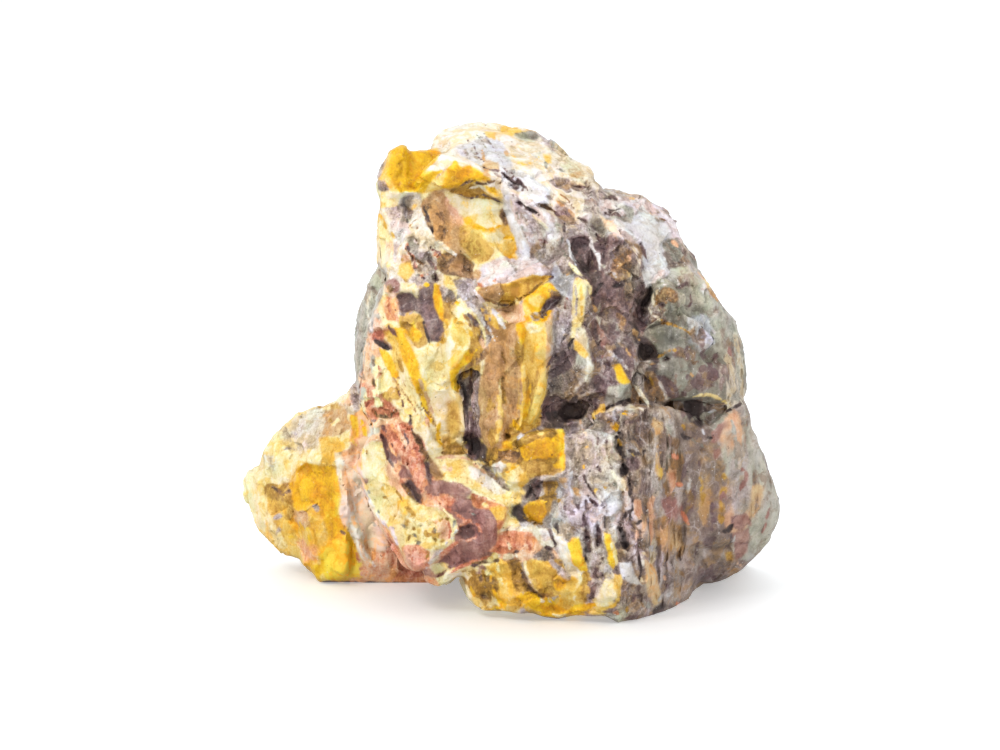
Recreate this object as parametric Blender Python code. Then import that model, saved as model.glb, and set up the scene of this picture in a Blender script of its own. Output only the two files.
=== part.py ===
"""A rough piece of banded red jasper: one stone, lying on the feet it was found to rest on.

Frame: metres, +Z up, the table at Z = 0 and the stone's front face towards -Y. The origin is
under the middle of the stone's bounding box.

The stone is roughed out as a mason would do it. Blocks of sound stone are fused into one body,
hollows and cracks are cut into it, its surface is broken up the way chert breaks, and its feet
are rubbed flat where they stand on the table.

Corners are read off a sighting grid by an eye at a fixed station in front of the stone. Each is
(across, up, back) in grid steps: across to the right of the stone's middle, up from its foremost
foot, both as the eye sees them, and back behind the plane of the foremost edge. A corner whose
back is TABLE lies on the table, where the eye sees it.
"""

import math

import bmesh
import bpy
import numpy as np
from mathutils import Matrix, Vector, noise

# Driving dimensions, in metres and degrees. The seen height is from the foremost foot to the crown,
# as the eye at the station sees them.
SEEN_HEIGHT = 0.080
STATION_DISTANCE = 0.655
STATION_ELEVATION = math.radians(12.0)

# The sighting grid, in its own steps: where the eye aims, and what the grid reads there
STEPS_HIGH = 500
STEP = SEEN_HEIGHT / STEPS_HIGH
AIM_PLACE = (-10, 0, 214)
AIM_ACROSS = -12
AIM_UP = 247
FRONT_PLANE = -165
TABLE = None

# How the surface is broken up
VOXEL = 0.0006
SWELL = 0.0007
SWELL_SIZE = 0.014
SWELL_ROUGHNESS = 0.9
SWELL_STEP_DOWN = 2.0  # how much finer each octave of the swell is than the last
SWELL_OCTAVES = 3
FACET = 0.0003
FACET_SIZE = 0.0040
FACET_SLOPE = 2.4
FACET_TILT_SEED = 7.3
FACET_LEVEL_SEED = 3.1
SCAR_SUBDIVISIONS = 4
MOST_TRIANGLES = 9600
FRONT_KEEPS = 0.01
STONE_STEPS_DEEP = 340
MM_PER_M = 1000
BACK_SHARE = 0.92  # a block's back, as a share of its exposed face

# The slab that the feet are rubbed flat on, and how near it the surface is left smooth
TABLE_HALF = 0.1
TABLE_THICKNESS = 0.02
SOLE_MARGIN = 0.0015
SOLE_PRESS = 0.00025

# name: (reach behind the corners in steps, corners of the exposed face)
BLOCKS = {
    "heart": (150, [
        (-82, 422, 125), (-112, 322, 105), (-118, 222, 105), (-100, 122, 100), (-42, 52, 80),
        (48, 36, 55), (98, 30, 55), (48, 202, 75), (88, 322, 95), (128, 222, 90),
        (178, 202, 115), (208, 272, 140), (223, 122, 150), (170, 60, 120), (-12, 472, 165),
        (48, 452, 160), (128, 397, 145),
    ]),
    "left_flank": (110, [
        (-137, 342, 160), (-155, 317, 172), (-157, 287, 176), (-155, 262, 176), (-152, 237, 172),
        (-147, 205, 150), (-117, 352, 125), (-112, 212, 115), (-122, 372, 150),
    ]),
    "crown": (50, [
        (-82, 476, 170), (-69, 490, 190), (-32, 500, 205), (-7, 497, 210), (28, 488, 205),
        (53, 472, 190), (78, 450, 180), (48, 407, 130), (-2, 442, 125), (-57, 462, 135),
    ]),
    "crown_slope": (80, [
        (-57, 464, 108), (-27, 454, 100), (-2, 446, 98), (33, 414, 98), (58, 400, 90),
        (76, 408, 100), (88, 432, 128), (78, 449, 150), (48, 471, 165), (-12, 492, 185),
        (-67, 486, 165),
    ]),
    "crest_left": (60, [
        (-123, 471, 108), (-110, 477, 106), (-102, 471, 118), (-100, 432, 100), (-132, 430, 102),
        (-135, 438, 106), (-128, 454, 106),
    ]),
    "crest_scoop": (50, [
        (-102, 470, 122), (-75, 473, 128), (-71, 466, 120), (-92, 446, 112), (-100, 432, 104),
    ]),
    "beak": (55, [
        (-69, 469, 96), (-82, 457, 92), (-94, 444, 88), (-95, 429, 88), (-69, 434, 80),
        (-57, 434, 80), (-22, 444, 88), (-9, 441, 94), (-32, 454, 102), (-52, 466, 104),
    ]),
    "olive_chip": (30, [
        (-54, 429, 90), (-37, 437, 92), (-12, 433, 92), (-8, 422, 90), (-32, 425, 86),
    ]),
    "brown_plate": (50, [
        (-72, 436, 88), (-60, 426, 90), (-54, 402, 88), (-48, 379, 84), (-45, 360, 80),
        (-65, 365, 74), (-84, 382, 78), (-92, 412, 86), (-86, 432, 88),
    ]),
    "mustard_plate": (50, [
        (-57, 425, 100), (-12, 421, 104), (-5, 407, 104), (2, 387, 102), (7, 366, 96),
        (-19, 359, 84), (-32, 356, 80), (-42, 360, 80), (-49, 379, 90), (-53, 402, 96),
    ]),
    "left_margin": (60, [
        (-134, 434, 106), (-108, 436, 98), (-107, 382, 90), (-114, 352, 88), (-132, 350, 110),
        (-134, 382, 112),
    ]),
    "mottled_shoulder": (50, [
        (-112, 432, 98), (-90, 430, 94), (-82, 382, 84), (-72, 360, 78), (-72, 337, 70),
        (-122, 332, 84), (-126, 347, 92), (-117, 360, 92), (-110, 387, 94),
    ]),
    "white_ledge": (45, [
        (-34, 354, 84), (-19, 360, 90), (23, 365, 90), (48, 354, 84), (62, 341, 68),
        (44, 341, 62), (33, 345, 62), (8, 343, 58), (-12, 336, 56), (-32, 331, 58),
        (-32, 324, 60), (0, 318, 56), (17, 326, 60),
    ]),
    "mottled_patch": (50, [
        (-80, 364, 80), (-34, 360, 82), (-32, 337, 64), (-42, 326, 58), (-72, 326, 66),
        (-84, 337, 74),
    ]),
    "pitted_rim": (30, [
        (-112, 398, 84), (-92, 405, 78), (-82, 385, 74), (-92, 362, 76), (-110, 372, 82),
    ]),
    "yellow_knob": (40, [
        (15, 325, 54), (33, 338, 54), (45, 334, 54), (54, 325, 58), (39, 318, 52),
        (28, 308, 48), (13, 304, 48), (6, 313, 54),
    ]),
    "ledge_floor": (50, [
        (-32, 322, 74), (10, 318, 74), (40, 308, 62), (30, 296, 56), (-10, 277, 54),
        (-32, 292, 58), (-42, 312, 62),
    ]),
    "purple_legs": (50, [
        (-127, 332, 86), (-97, 337, 76), (-77, 337, 70), (-56, 332, 68), (-60, 312, 64),
        (-66, 282, 60), (-80, 274, 60), (-94, 272, 66), (-114, 297, 80), (-126, 317, 86),
    ]),
    "left_edge": (60, [
        (-129, 337, 92), (-117, 322, 84), (-114, 292, 78), (-100, 250, 70), (-94, 227, 66),
        (-117, 222, 76), (-137, 237, 86), (-149, 250, 98), (-146, 272, 102), (-142, 292, 104),
        (-134, 317, 98),
    ]),
    "cream_flow": (45, [
        (-114, 287, 76), (-97, 272, 66), (-72, 274, 60), (-60, 237, 58), (-49, 222, 58),
        (-46, 182, 60), (-52, 170, 60), (-70, 170, 56), (-82, 197, 58), (-97, 237, 62),
        (-107, 262, 70),
    ]),
    "cream_column": (40, [
        (-63, 312, 54), (-50, 318, 54), (-41, 302, 50), (-32, 282, 46), (-26, 270, 44),
        (-42, 259, 46), (-56, 246, 48), (-64, 238, 52), (-67, 272, 56),
    ]),
    "vein_star": (45, [
        (-82, 340, 70), (-60, 345, 72), (-34, 332, 64), (-32, 314, 60), (-22, 292, 54),
        (-20, 276, 50), (-30, 290, 54), (-42, 312, 58), (-58, 330, 64),
    ]),
    "tan_column": (50, [
        (-34, 257, 50), (-22, 277, 42), (-11, 292, 42), (-11, 222, 36), (-10, 190, 32),
        (-14, 166, 32), (-22, 156, 34), (-32, 166, 40), (-37, 222, 48),
    ]),
    "amber_column": (50, [
        (-6, 296, 44), (6, 300, 34), (13, 300, 38), (14, 250, 32), (12, 194, 28),
        (3, 190, 26), (-6, 192, 34),
    ]),
    "ochre_column": (50, [
        (16, 302, 46), (29, 304, 40), (38, 292, 38), (37, 262, 34), (29, 222, 32),
        (23, 197, 34), (16, 194, 40), (17, 250, 42),
    ]),
    "column_bed": (60, [
        (-34, 262, 58), (-10, 300, 54), (20, 306, 50), (40, 292, 50), (36, 222, 48),
        (20, 186, 44), (-30, 160, 46),
    ]),
    "flow_margin": (50, [
        (-124, 230, 80), (-96, 230, 68), (-68, 172, 58), (-84, 166, 52), (-104, 197, 66),
    ]),
    "grey_strip": (45, [
        (37, 302, 46), (54, 320, 50), (60, 347, 62), (70, 342, 54), (78, 327, 46),
        (80, 272, 38), (76, 254, 36), (63, 272, 38), (48, 272, 44), (38, 257, 44),
    ]),
    "plum_plate": (40, [
        (35, 244, 50), (50, 270, 46), (62, 274, 44), (78, 252, 38), (90, 227, 40),
        (63, 226, 48), (36, 222, 54),
    ]),
    "cavern_sill": (60, [
        (78, 232, 60), (128, 237, 60), (148, 227, 66), (143, 197, 60), (108, 197, 40),
        (83, 197, 38), (73, 212, 64),
    ]),
    "quartz": (50, [
        (-12, 140, 34), (16, 138, 32), (18, 102, 26), (-2, 88, 22), (-17, 94, 24),
        (-18, 117, 30),
    ]),
    "little_cube": (35, [
        (8, 121, 26), (36, 122, 18), (34, 106, 16), (22, 98, 16), (10, 106, 22),
    ]),
    "salmon_knob": (35, [
        (-22, 122, 26), (-6, 114, 22), (-7, 100, 18), (-18, 96, 18), (-28, 110, 22),
    ]),
    "scree_middle": (50, [
        (30, 124, 24), (63, 136, 16), (80, 92, 6), (75, 57, 2), (43, 60, 8), (28, 90, 16),
    ]),
    "pale_facet": (40, [
        (86, 46, 0), (106, 56, -2), (115, 32, 0), (110, 14, 4), (92, 9, 6), (84, 22, 4),
    ]),
    "yellow_cube": (60, [
        (-14, 165, 32), (-7, 180, 34), (13, 186, 32), (35, 192, 30), (51, 192, 24),
        (57, 184, 24), (55, 156, 16), (48, 146, 14), (20, 146, 16), (3, 138, 20),
        (-9, 136, 26), (-16, 152, 30),
    ]),
    "cream_shelf": (50, [
        (-82, 167, 60), (-42, 168, 58), (-12, 149, 46), (-1, 132, 34), (-6, 116, 26),
        (-32, 122, 26), (-62, 137, 40), (-78, 150, 52),
    ]),
    "red_flake_top": (55, [
        (-149, 250, 98), (-134, 240, 88), (-114, 212, 74), (-102, 202, 70), (-140, 202, 86),
        (-151, 217, 96), (-152, 237, 98),
    ]),
    "red_flake": (55, [
        (-141, 201, 84), (-112, 204, 70), (-97, 192, 62), (-87, 167, 56), (-80, 140, 48),
        (-86, 120, 44), (-94, 124, 50), (-112, 152, 62), (-127, 182, 76),
    ]),
    "cream_slab": (55, [
        (-147, 181, 90), (-132, 186, 80), (-124, 162, 70), (-110, 130, 58), (-82, 114, 44),
        (-56, 102, 32), (-55, 81, 26), (-75, 66, 32), (-91, 53, 40), (-99, 51, 48),
        (-112, 71, 62), (-133, 102, 80), (-150, 135, 92), (-155, 156, 96),
    ]),
    "maroon_slab": (50, [
        (-55, 81, 24), (-42, 112, 28), (-22, 114, 22), (-14, 92, 16), (-16, 72, 16),
        (-41, 59, 22), (-67, 51, 32), (-69, 36, 42), (-87, 45, 48), (-82, 50, 40),
    ]),
    "mauve_saddle": (45, [
        (-80, 138, 46), (-62, 138, 40), (-40, 126, 32), (-24, 114, 24), (-42, 104, 26),
        (-60, 106, 34), (-76, 117, 44),
    ]),
    "orange_strip": (45, [
        (-16, 94, 18), (3, 98, 18), (33, 92, 14), (36, 74, 10), (20, 64, 10), (-9, 60, 14),
        (-18, 69, 18),
    ]),
    "plum_block": (45, [
        (8, 140, 32), (40, 142, 24), (46, 122, 18), (34, 100, 14), (14, 100, 20), (1, 114, 30),
    ]),
    "toe_left": (75, [
        (-50, 52, 38), (-36, 60, 28), (-24, 60, 22), (-22, 32, 18), (-24, 10, 24),
        (-32, 14, 30), (-43, 26, 34),
    ]),
    "toe_middle": (75, [
        (-20, 62, 20), (-4, 66, 12), (10, 62, 8), (20, 36, 4), (26, 18, 8), (13, 9, 16),
        (-8, 11, 20), (-20, 12, 24),
    ]),
    "toe_right": (75, [
        (8, 64, 14), (32, 64, 4), (50, 48, 0), (58, 24, 4), (52, 3, 12), (28, 5, 14),
        (22, 20, 10),
    ]),
    "toe_tip": (75, [
        (52, 66, 8), (73, 74, 4), (90, 64, 2), (96, 27, 4), (98, 10, 10), (78, 8, 10),
        (60, 6, 12), (56, 30, 6),
    ]),
    "toe_bed": (75, [
        (-48, 46, 44), (-12, 60, 28), (40, 60, 16), (90, 66, 12), (102, 40, 12),
        (98, 12, 16), (60, 6, 18), (13, 11, 24), (-22, 12, 32), (-42, 24, 42),
    ]),
    "mauve_scree": (55, [
        (56, 182, 20), (78, 194, 24), (106, 190, 18), (110, 142, 6), (120, 82, 0),
        (128, 47, 0), (106, 22, 4), (92, 62, 0), (63, 97, 6), (44, 122, 14), (50, 144, 18),
    ]),
    "front_foot": (60, [
        (92, 12, 14), (106, -2, TABLE), (128, 3, TABLE), (153, 9, TABLE), (178, 22, TABLE),
        (188, 36, TABLE), (110, 47, 4), (148, 47, 26), (188, 62, 70),
    ]),
    "front_foot_sole": (0, [
        (104, -1, TABLE), (128, 3, TABLE), (153, 9, TABLE), (178, 22, TABLE), (188, 36, TABLE),
        (150, 52, TABLE), (90, 48, TABLE), (60, 30, TABLE), (80, 60, 60), (150, 80, 90),
        (188, 62, 150),
    ]),
    "right_slab": (70, [
        (110, 210, 28), (143, 218, 48), (178, 209, 68), (174, 152, 66), (178, 82, 68),
        (181, 32, 88), (153, 11, 54), (131, 5, 18), (120, 62, 4), (114, 142, 12),
        (104, 182, 22),
    ]),
    "slab_edge": (40, [
        (112, 208, 22), (126, 212, 30), (132, 160, 18), (130, 100, 12), (140, 60, 8),
        (134, 12, 16), (120, 62, 0), (114, 142, 6),
    ]),
    "slab_rib": (40, [
        (140, 200, 38), (152, 196, 42), (156, 150, 40), (150, 90, 34), (158, 40, 38),
        (146, 30, 30), (138, 100, 26), (140, 150, 30),
    ]),
    "slab_far_rib": (40, [
        (158, 190, 52), (168, 186, 54), (170, 120, 52), (166, 60, 56), (160, 60, 48),
        (158, 120, 44),
    ]),
    "right_wing": (110, [
        (178, 207, 66), (201, 194, 78), (234, 220, 108), (245, 190, 112), (254, 160, 114),
        (270, 116, 128), (268, 101, 130), (256, 82, 130), (233, 77, 114), (203, 77, 88),
        (180, 77, 66), (176, 134, 60),
    ]),
    "wing_rib": (60, [
        (196, 180, 74), (208, 186, 84), (222, 160, 92), (226, 110, 92), (214, 84, 90),
        (202, 90, 78), (198, 130, 72),
    ]),
    "wing_brow": (60, [
        (206, 196, 84), (236, 216, 106), (244, 188, 108), (234, 170, 100), (212, 180, 86),
    ]),
    "right_wing_heel": (100, [
        (184, 77, 84), (228, 90, 114), (256, 80, 134), (244, 65, 140), (230, 52, 142),
        (206, 40, 134), (192, 38, 128), (182, 47, 100),
    ]),
    "boulder": (115, [
        (146, 332, 78), (156, 339, 84), (178, 352, 98), (195, 340, 112), (210, 320, 122),
        (227, 300, 124), (231, 277, 126), (236, 230, 124), (232, 221, 118), (200, 220, 94),
        (168, 220, 80), (150, 222, 70), (140, 277, 66),
    ]),
    "boulder_cap": (50, [
        (143, 334, 66), (160, 340, 70), (172, 324, 70), (164, 310, 62), (146, 314, 60),
    ]),
    "boulder_brow": (60, [
        (132, 294, 54), (150, 306, 58), (178, 304, 66), (206, 282, 80), (186, 262, 72),
        (150, 270, 56), (132, 272, 52),
    ]),
    "boulder_jaw": (70, [
        (134, 256, 52), (178, 264, 62), (223, 252, 108), (226, 227, 110), (188, 222, 76),
        (143, 224, 56),
    ]),
    "boulder_bed": (90, [
        (134, 340, 90), (190, 346, 110), (226, 290, 126), (228, 225, 126), (140, 222, 70),
        (128, 260, 64), (128, 310, 80),
    ]),
    "middle_face": (55, [
        (54, 396, 78), (73, 400, 86), (90, 386, 84), (120, 379, 84), (130, 360, 82),
        (136, 332, 76), (128, 277, 62), (124, 247, 52), (110, 220, 38), (88, 226, 38),
        (80, 272, 46), (80, 322, 54), (71, 344, 60), (59, 367, 70),
    ]),
    "right_shoulder": (75, [
        (72, 408, 96), (88, 432, 132), (105, 431, 142), (128, 423, 146), (156, 409, 150),
        (165, 396, 150), (172, 376, 142), (178, 356, 118), (148, 336, 84), (136, 337, 82),
        (128, 372, 92), (90, 388, 92),
    ]),
    "shoulder_step": (50, [
        (88, 420, 122), (128, 414, 134), (154, 400, 142), (148, 386, 124), (112, 388, 104),
        (92, 396, 100),
    ]),
    "crown_rib": (40, [
        (-12, 492, 186), (10, 490, 186), (48, 452, 152), (36, 444, 142), (4, 468, 158),
    ]),
    "crown_far_rib": (40, [
        (44, 470, 178), (58, 462, 172), (86, 430, 140), (72, 424, 132), (50, 448, 152),
    ]),
    "shoulder_lump": (55, [
        (150, 377, 120), (168, 386, 136), (185, 364, 140), (195, 341, 130), (178, 353, 110),
        (152, 356, 106),
    ]),
    "white_streaks": (50, [
        (-7, 442, 92), (8, 442, 96), (36, 412, 92), (56, 396, 84), (60, 366, 72),
        (54, 350, 68), (23, 364, 86), (10, 364, 92), (2, 387, 98),
    ]),
    "crest_root": (90, [
        (-127, 452, 122), (-104, 466, 130), (-62, 470, 150), (-58, 420, 120), (-130, 400, 118),
        (-112, 360, 118),
    ]),
    "back_crown": (0, [
        (-64, 470, 195), (0, 490, 212), (50, 464, 205), (76, 432, 198), (62, 402, 256),
        (0, 432, 266), (-58, 414, 256), (-76, 440, 215), (-84, 380, 222), (-60, 440, 150),
        (60, 420, 150),
    ]),
    "back_shoulder": (0, [
        (80, 420, 180), (150, 400, 192), (184, 346, 205), (208, 296, 220), (152, 300, 270),
        (90, 334, 286), (62, 392, 256), (122, 382, 240), (100, 380, 150), (180, 300, 150),
    ]),
    "back_left_wall": (0, [
        (-84, 400, 220), (-60, 412, 255), (0, 430, 266), (0, 334, 308), (-70, 322, 296),
        (-120, 320, 228), (-136, 250, 222), (-90, 242, 292), (-112, 380, 180),
        (-128, 320, 170), (-130, 240, 160),
    ]),
    "back_middle": (0, [
        (-4, 424, 264), (62, 404, 260), (94, 340, 286), (132, 252, 312), (60, 232, 326),
        (0, 232, 318), (-6, 330, 306), (0, 330, 150), (100, 300, 150),
    ]),
    "back_heart": (0, [
        (-70, 310, 286), (60, 310, 300), (70, 170, 312), (-56, 170, 302), (-80, 240, 286),
        (0, 240, 200),
    ]),
    "back_low_left": (0, [
        (-134, 262, 214), (-90, 252, 292), (0, 240, 320), (12, 124, 326), (-60, 114, 312),
        (-112, 150, 276), (-142, 200, 214), (-120, 200, 150), (0, 150, 150),
    ]),
    "back_low_right": (0, [
        (-4, 240, 318), (132, 256, 310), (204, 262, 236), (240, 152, 226), (208, 88, 240),
        (132, 98, 298), (20, 118, 324), (210, 240, 150), (120, 150, 150), (230, 120, 160),
    ]),
    "back_foot": (0, [
        (-70, 58, TABLE), (-56, 72, TABLE), (30, 77, TABLE), (108, 73, TABLE),
        (160, 50, TABLE), (100, 46, TABLE), (-60, 50, TABLE), (-84, 130, 288),
        (10, 150, 326), (128, 140, 306), (186, 96, 262), (120, 110, 170), (-60, 110, 170),
    ]),
    "lobe": (60, [
        (-212, 209, 222), (-192, 217, 212), (-160, 226, 196), (-127, 192, 165), (-82, 122, 150),
        (-75, 39, TABLE), (-112, 39, TABLE), (-192, 38, TABLE), (-210, 60, 188),
        (-177, 167, 160), (-167, 102, 158), (-156, 62, 160), (-214, 154, 182), (-140, 150, 160),
    ]),
    "lobe_rib": (50, [
        (-177, 174, 158), (-160, 178, 152), (-154, 122, 146), (-156, 50, 158),
        (-170, 60, 164), (-174, 120, 154),
    ]),
    "lobe_cheek": (55, [
        (-250, 162, 226), (-242, 179, 222), (-212, 209, 218), (-212, 157, 188),
        (-214, 64, 192), (-228, 71, 206), (-240, 79, 212), (-254, 102, 226), (-250, 130, 216),
    ]),
    "lobe_knob": (40, [
        (-266, 147, 240), (-269, 135, 242), (-260, 157, 244), (-248, 153, 222),
        (-246, 122, 216), (-256, 107, 228), (-265, 125, 240),
    ]),
    "lobe_back": (0, [
        (-212, 192, 238), (-164, 214, 236), (-122, 228, 240), (-88, 160, 290),
        (-96, 62, TABLE), (-188, 60, TABLE), (-232, 92, 246), (-246, 140, 246),
        (-150, 120, 292), (-110, 140, 180), (-200, 120, 190),
    ]),
    "lobe_sole": (0, [
        (-192, 39, TABLE), (-77, 39, TABLE), (-60, 70, TABLE), (-150, 82, TABLE),
        (-200, 66, TABLE), (-205, 120, 240), (-120, 150, 250), (-90, 150, 200),
    ]),
    "lobe_root": (90, [
        (-166, 225, 196), (-148, 236, 178), (-112, 182, 130), (-82, 62, 120), (-150, 152, 162),
    ]),
}

# name: (reach into the stone in steps, how far the floor draws in, corners of the mouth)
HOLLOWS = {
    "groove_top": (44, 0.45, [
        (-27, 269, 26), (-43, 257, 28), (-55, 241, 30), (-46, 225, 30), (-35, 226, 28),
        (-32, 248, 26),
    ]),
    "groove_foot": (52, 0.45, [
        (-48, 230, 20), (-36, 232, 20), (-32, 182, 16), (-22, 156, 12), (-41, 160, 12),
        (-50, 182, 16),
    ]),
    "cavern": (88, 0.55, [
        (26, 222, 6), (44, 231, 6), (70, 228, 6), (91, 220, 6), (86, 206, 6), (72, 197, 6),
        (48, 194, 6), (32, 202, 6),
    ]),
    "pit": (62, 0.60, [
        (173, 222, 44), (200, 225, 50), (228, 222, 70), (222, 211, 70), (200, 193, 50),
        (188, 195, 44), (177, 207, 44),
    ]),
    "slab_crack_top": (75, 0.30, [
        (104, 184, 0), (108, 186, 0), (117, 148, 0), (109, 149, 0),
    ]),
    "slab_crack_foot": (60, 0.30, [
        (107, 97, -10), (111, 96, -10), (117, 72, -10), (113, 70, -10),
    ]),
    "level_crack": (80, 0.30, [
        (92, 213, 0), (112, 219, 0), (143, 221, 20), (143, 217, 20), (112, 214, 0),
    ]),
    "shadow_cleft": (66, 0.40, [
        (124, 330, 28), (141, 334, 28), (143, 318, 28), (132, 290, 28), (122, 292, 28),
    ]),
    "shadow_cleft_foot": (66, 0.40, [
        (125, 284, 22), (150, 280, 22), (148, 267, 22), (128, 262, 22),
    ]),
    "brow_undercut": (60, 0.50, [
        (152, 268, 26), (190, 262, 36), (214, 250, 60), (186, 254, 36), (152, 258, 26),
    ]),
    "rust_gap": (60, 0.50, [
        (144, 312, 26), (164, 308, 32), (176, 304, 36), (162, 302, 32), (146, 306, 26),
    ]),
    "toe_groove": (50, 0.40, [
        (-26, 62, -6), (-18, 62, -6), (-17, 12, -6), (-25, 12, -6),
    ]),
    "toe_far_groove": (50, 0.40, [
        (6, 64, -14), (12, 63, -14), (28, 10, -14), (20, 12, -14),
    ]),
    "column_groove": (44, 0.40, [
        (-11, 288, 18), (-6, 290, 18), (-5, 196, 12), (-10, 196, 12),
    ]),
    "wing_crack": (60, 0.30, [
        (178, 205, 34), (184, 205, 34), (186, 90, 34), (180, 90, 34),
    ]),
    "beak_gap": (60, 0.40, [
        (-56, 433, 66), (-32, 442, 66), (-9, 441, 66), (-9, 437, 66), (-32, 437, 66),
        (-52, 429, 66),
    ]),
    "streak_slot": (60, 0.30, [
        (-2, 429, 66), (3, 430, 66), (30, 411, 66), (27, 405, 66),
    ]),
    "streak_slot_high": (60, 0.30, [
        (-14, 448, 70), (9, 438, 70), (7, 433, 70), (-4, 436, 70),
    ]),
    "flake_slot": (65, 0.30, [
        (-130, 184, 40), (-122, 178, 40), (-110, 152, 36), (-96, 134, 30), (-89, 120, 24),
        (-97, 121, 24), (-113, 143, 30), (-125, 168, 36),
    ]),
    "middle_scoop": (50, 0.60, [
        (56, 386, 46), (78, 390, 50), (86, 367, 50), (86, 347, 46), (78, 340, 42),
        (64, 358, 44),
    ]),
    "knob_notch": (50, 0.40, [
        (34, 312, 30), (42, 320, 30), (54, 324, 30), (50, 312, 30),
    ]),
    "ledge_shadow": (40, 0.40, [
        (-36, 325, 46), (0, 318, 40), (18, 324, 40), (6, 306, 36), (-20, 308, 40),
    ]),
    "toe_arch": (70, 0.70, [
        (-66, 36, 0), (-46, 44, 0), (-42, 22, 0), (-60, -40, 0), (-140, -40, 0),
        (-90, 40, 0),
    ]),
    "scree_gap": (45, 0.40, [
        (14, 142, 2), (40, 144, 2), (45, 130, 2), (20, 130, 2),
    ]),
}


# name: (radius in metres, deepest point of the scar, outward direction there)
SCARS = {
    "crown_scar": (0.024, (14, 452, 248), (0.15, 0.62, 0.77)),
    "left_scar": (0.026, (-112, 330, 236), (-0.80, 0.56, 0.20)),
    "middle_scar": (0.030, (30, 300, 300), (0.12, 0.96, 0.25)),
    "right_scar": (0.028, (158, 240, 266), (0.62, 0.76, 0.18)),
    "low_left_scar": (0.024, (-50, 190, 298), (-0.40, 0.91, -0.10)),
    "low_right_scar": (0.024, (96, 130, 304), (0.30, 0.94, -0.14)),
    "lobe_scar": (0.020, (-186, 140, 262), (-0.45, 0.85, 0.26)),
    "wing_scar": (0.026, (238, 170, 196), (0.93, 0.30, 0.20)),
}


def station():
    """The eye's place, and its forward and upward directions, in metres."""
    forward = Vector((0, math.cos(STATION_ELEVATION), -math.sin(STATION_ELEVATION)))
    upward = Vector((0, math.sin(STATION_ELEVATION), math.cos(STATION_ELEVATION)))
    aim = Vector(AIM_PLACE) * STEP
    return aim - forward * STATION_DISTANCE, forward, upward


def sighted(across, up, back):
    """The point in the part's frame that a corner names."""
    eye, forward, upward = station()
    ray = (
        forward * STATION_DISTANCE
        + Vector((1, 0, 0)) * (across - AIM_ACROSS) * STEP
        + upward * (up - AIM_UP) * STEP
    )
    if back is TABLE:
        return eye + ray * (-eye.z / ray.z)
    return eye + ray * (((FRONT_PLANE + back) * STEP - eye.y) / ray.y)


def drawn_in(corners, share):
    """The same corners, moved towards their middle until that share of the outline is left."""
    middle_across = sum(c[0] for c in corners) / len(corners)
    middle_up = sum(c[1] for c in corners) / len(corners)
    return [
        (middle_across + (across - middle_across) * share, middle_up + (up - middle_up) * share, back)
        for across, up, back in corners
    ]


def add_helper(name, mesh, collection):
    """A helper that is seen as wires and isn't rendered."""
    helper = bpy.data.objects.new(name, mesh)
    helper.display_type = "WIRE"
    helper.hide_render = True
    collection.objects.link(helper)


def hull_object(name, points, collection):
    """A closed convex solid through the outermost of the points."""
    solid = bmesh.new()
    for point in points:
        solid.verts.new(point)
    made = bmesh.ops.convex_hull(solid, input=solid.verts)
    loose = [e for e in made["geom_interior"] + made["geom_unused"] if isinstance(e, bmesh.types.BMVert)]
    bmesh.ops.delete(solid, geom=list(set(loose)), context="VERTS")
    bmesh.ops.recalc_face_normals(solid, faces=solid.faces)
    mesh = bpy.data.meshes.new(name)
    solid.to_mesh(mesh)
    solid.free()
    add_helper(name, mesh, collection)


def block(name, reach, corners, collection):
    """A block of stone: its exposed face, and the same face drawn in a little, reach steps behind."""
    behind = [
        (across, up, back + reach)
        for across, up, back in drawn_in(corners, BACK_SHARE)
        if reach and back is not TABLE
    ]
    hull_object(name, [sighted(*corner) for corner in corners + behind], collection)


def hollow(name, reach, share, corners, collection):
    """A cutter: its mouth stands clear in front of the stone and its floor is drawn in."""
    floor = [(across, up, back + reach) for across, up, back in drawn_in(corners, share)]
    hull_object(name, [sighted(*corner) for corner in corners + floor], collection)


def scar(name, radius, deepest, outwards, collection):
    """A ball that leaves the shallow bowl of a flake struck off the stone."""
    ball = bmesh.new()
    bmesh.ops.create_icosphere(ball, subdivisions=SCAR_SUBDIVISIONS, radius=radius)
    centre = sighted(*deepest) + Vector(outwards).normalized() * radius
    bmesh.ops.translate(ball, verts=ball.verts, vec=centre)
    mesh = bpy.data.meshes.new(name)
    ball.to_mesh(mesh)
    ball.free()
    add_helper(name, mesh, collection)


def table_top(collection):
    """A slab with its top at the table's height, which rubs the feet flat."""
    corners = [
        (x, y, z)
        for x in (-TABLE_HALF, TABLE_HALF)
        for y in (-TABLE_HALF, TABLE_HALF)
        for z in (-TABLE_THICKNESS, 0)
    ]
    hull_object("table_top", corners, collection)


def helper_collection(name):
    """A collection of helpers that are neither rendered nor built."""
    collection = bpy.data.collections.new(name)
    collection.hide_render = True
    bpy.context.scene.collection.children.link(collection)
    return collection


def evaluated_copy(stone):
    """The stone's mesh with its modifiers carried out, which then replaces the old mesh."""
    graph = bpy.context.evaluated_depsgraph_get()
    mesh = bpy.data.meshes.new_from_object(stone.evaluated_get(graph))
    stone.modifiers.clear()
    stone.data = mesh


def reskin(stone):
    """Voxel remeshing leaves only the outer skin of blocks that run into each other."""
    skin = stone.modifiers.new("skin", "REMESH")
    skin.mode = "VOXEL"
    skin.voxel_size = VOXEL
    evaluated_copy(stone)


def fuse(stone, blocks):
    lump = bmesh.new()
    for piece in blocks.objects:
        lump.from_mesh(piece.data)
    lump.to_mesh(stone.data)
    lump.free()
    reskin(stone)


def take_away(stone, cutters):
    """Cuts every object of the collection out of the stone."""
    cut = stone.modifiers.new("cut", "BOOLEAN")
    cut.operation = "DIFFERENCE"
    cut.operand_type = "COLLECTION"
    cut.collection = cutters
    evaluated_copy(stone)


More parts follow.
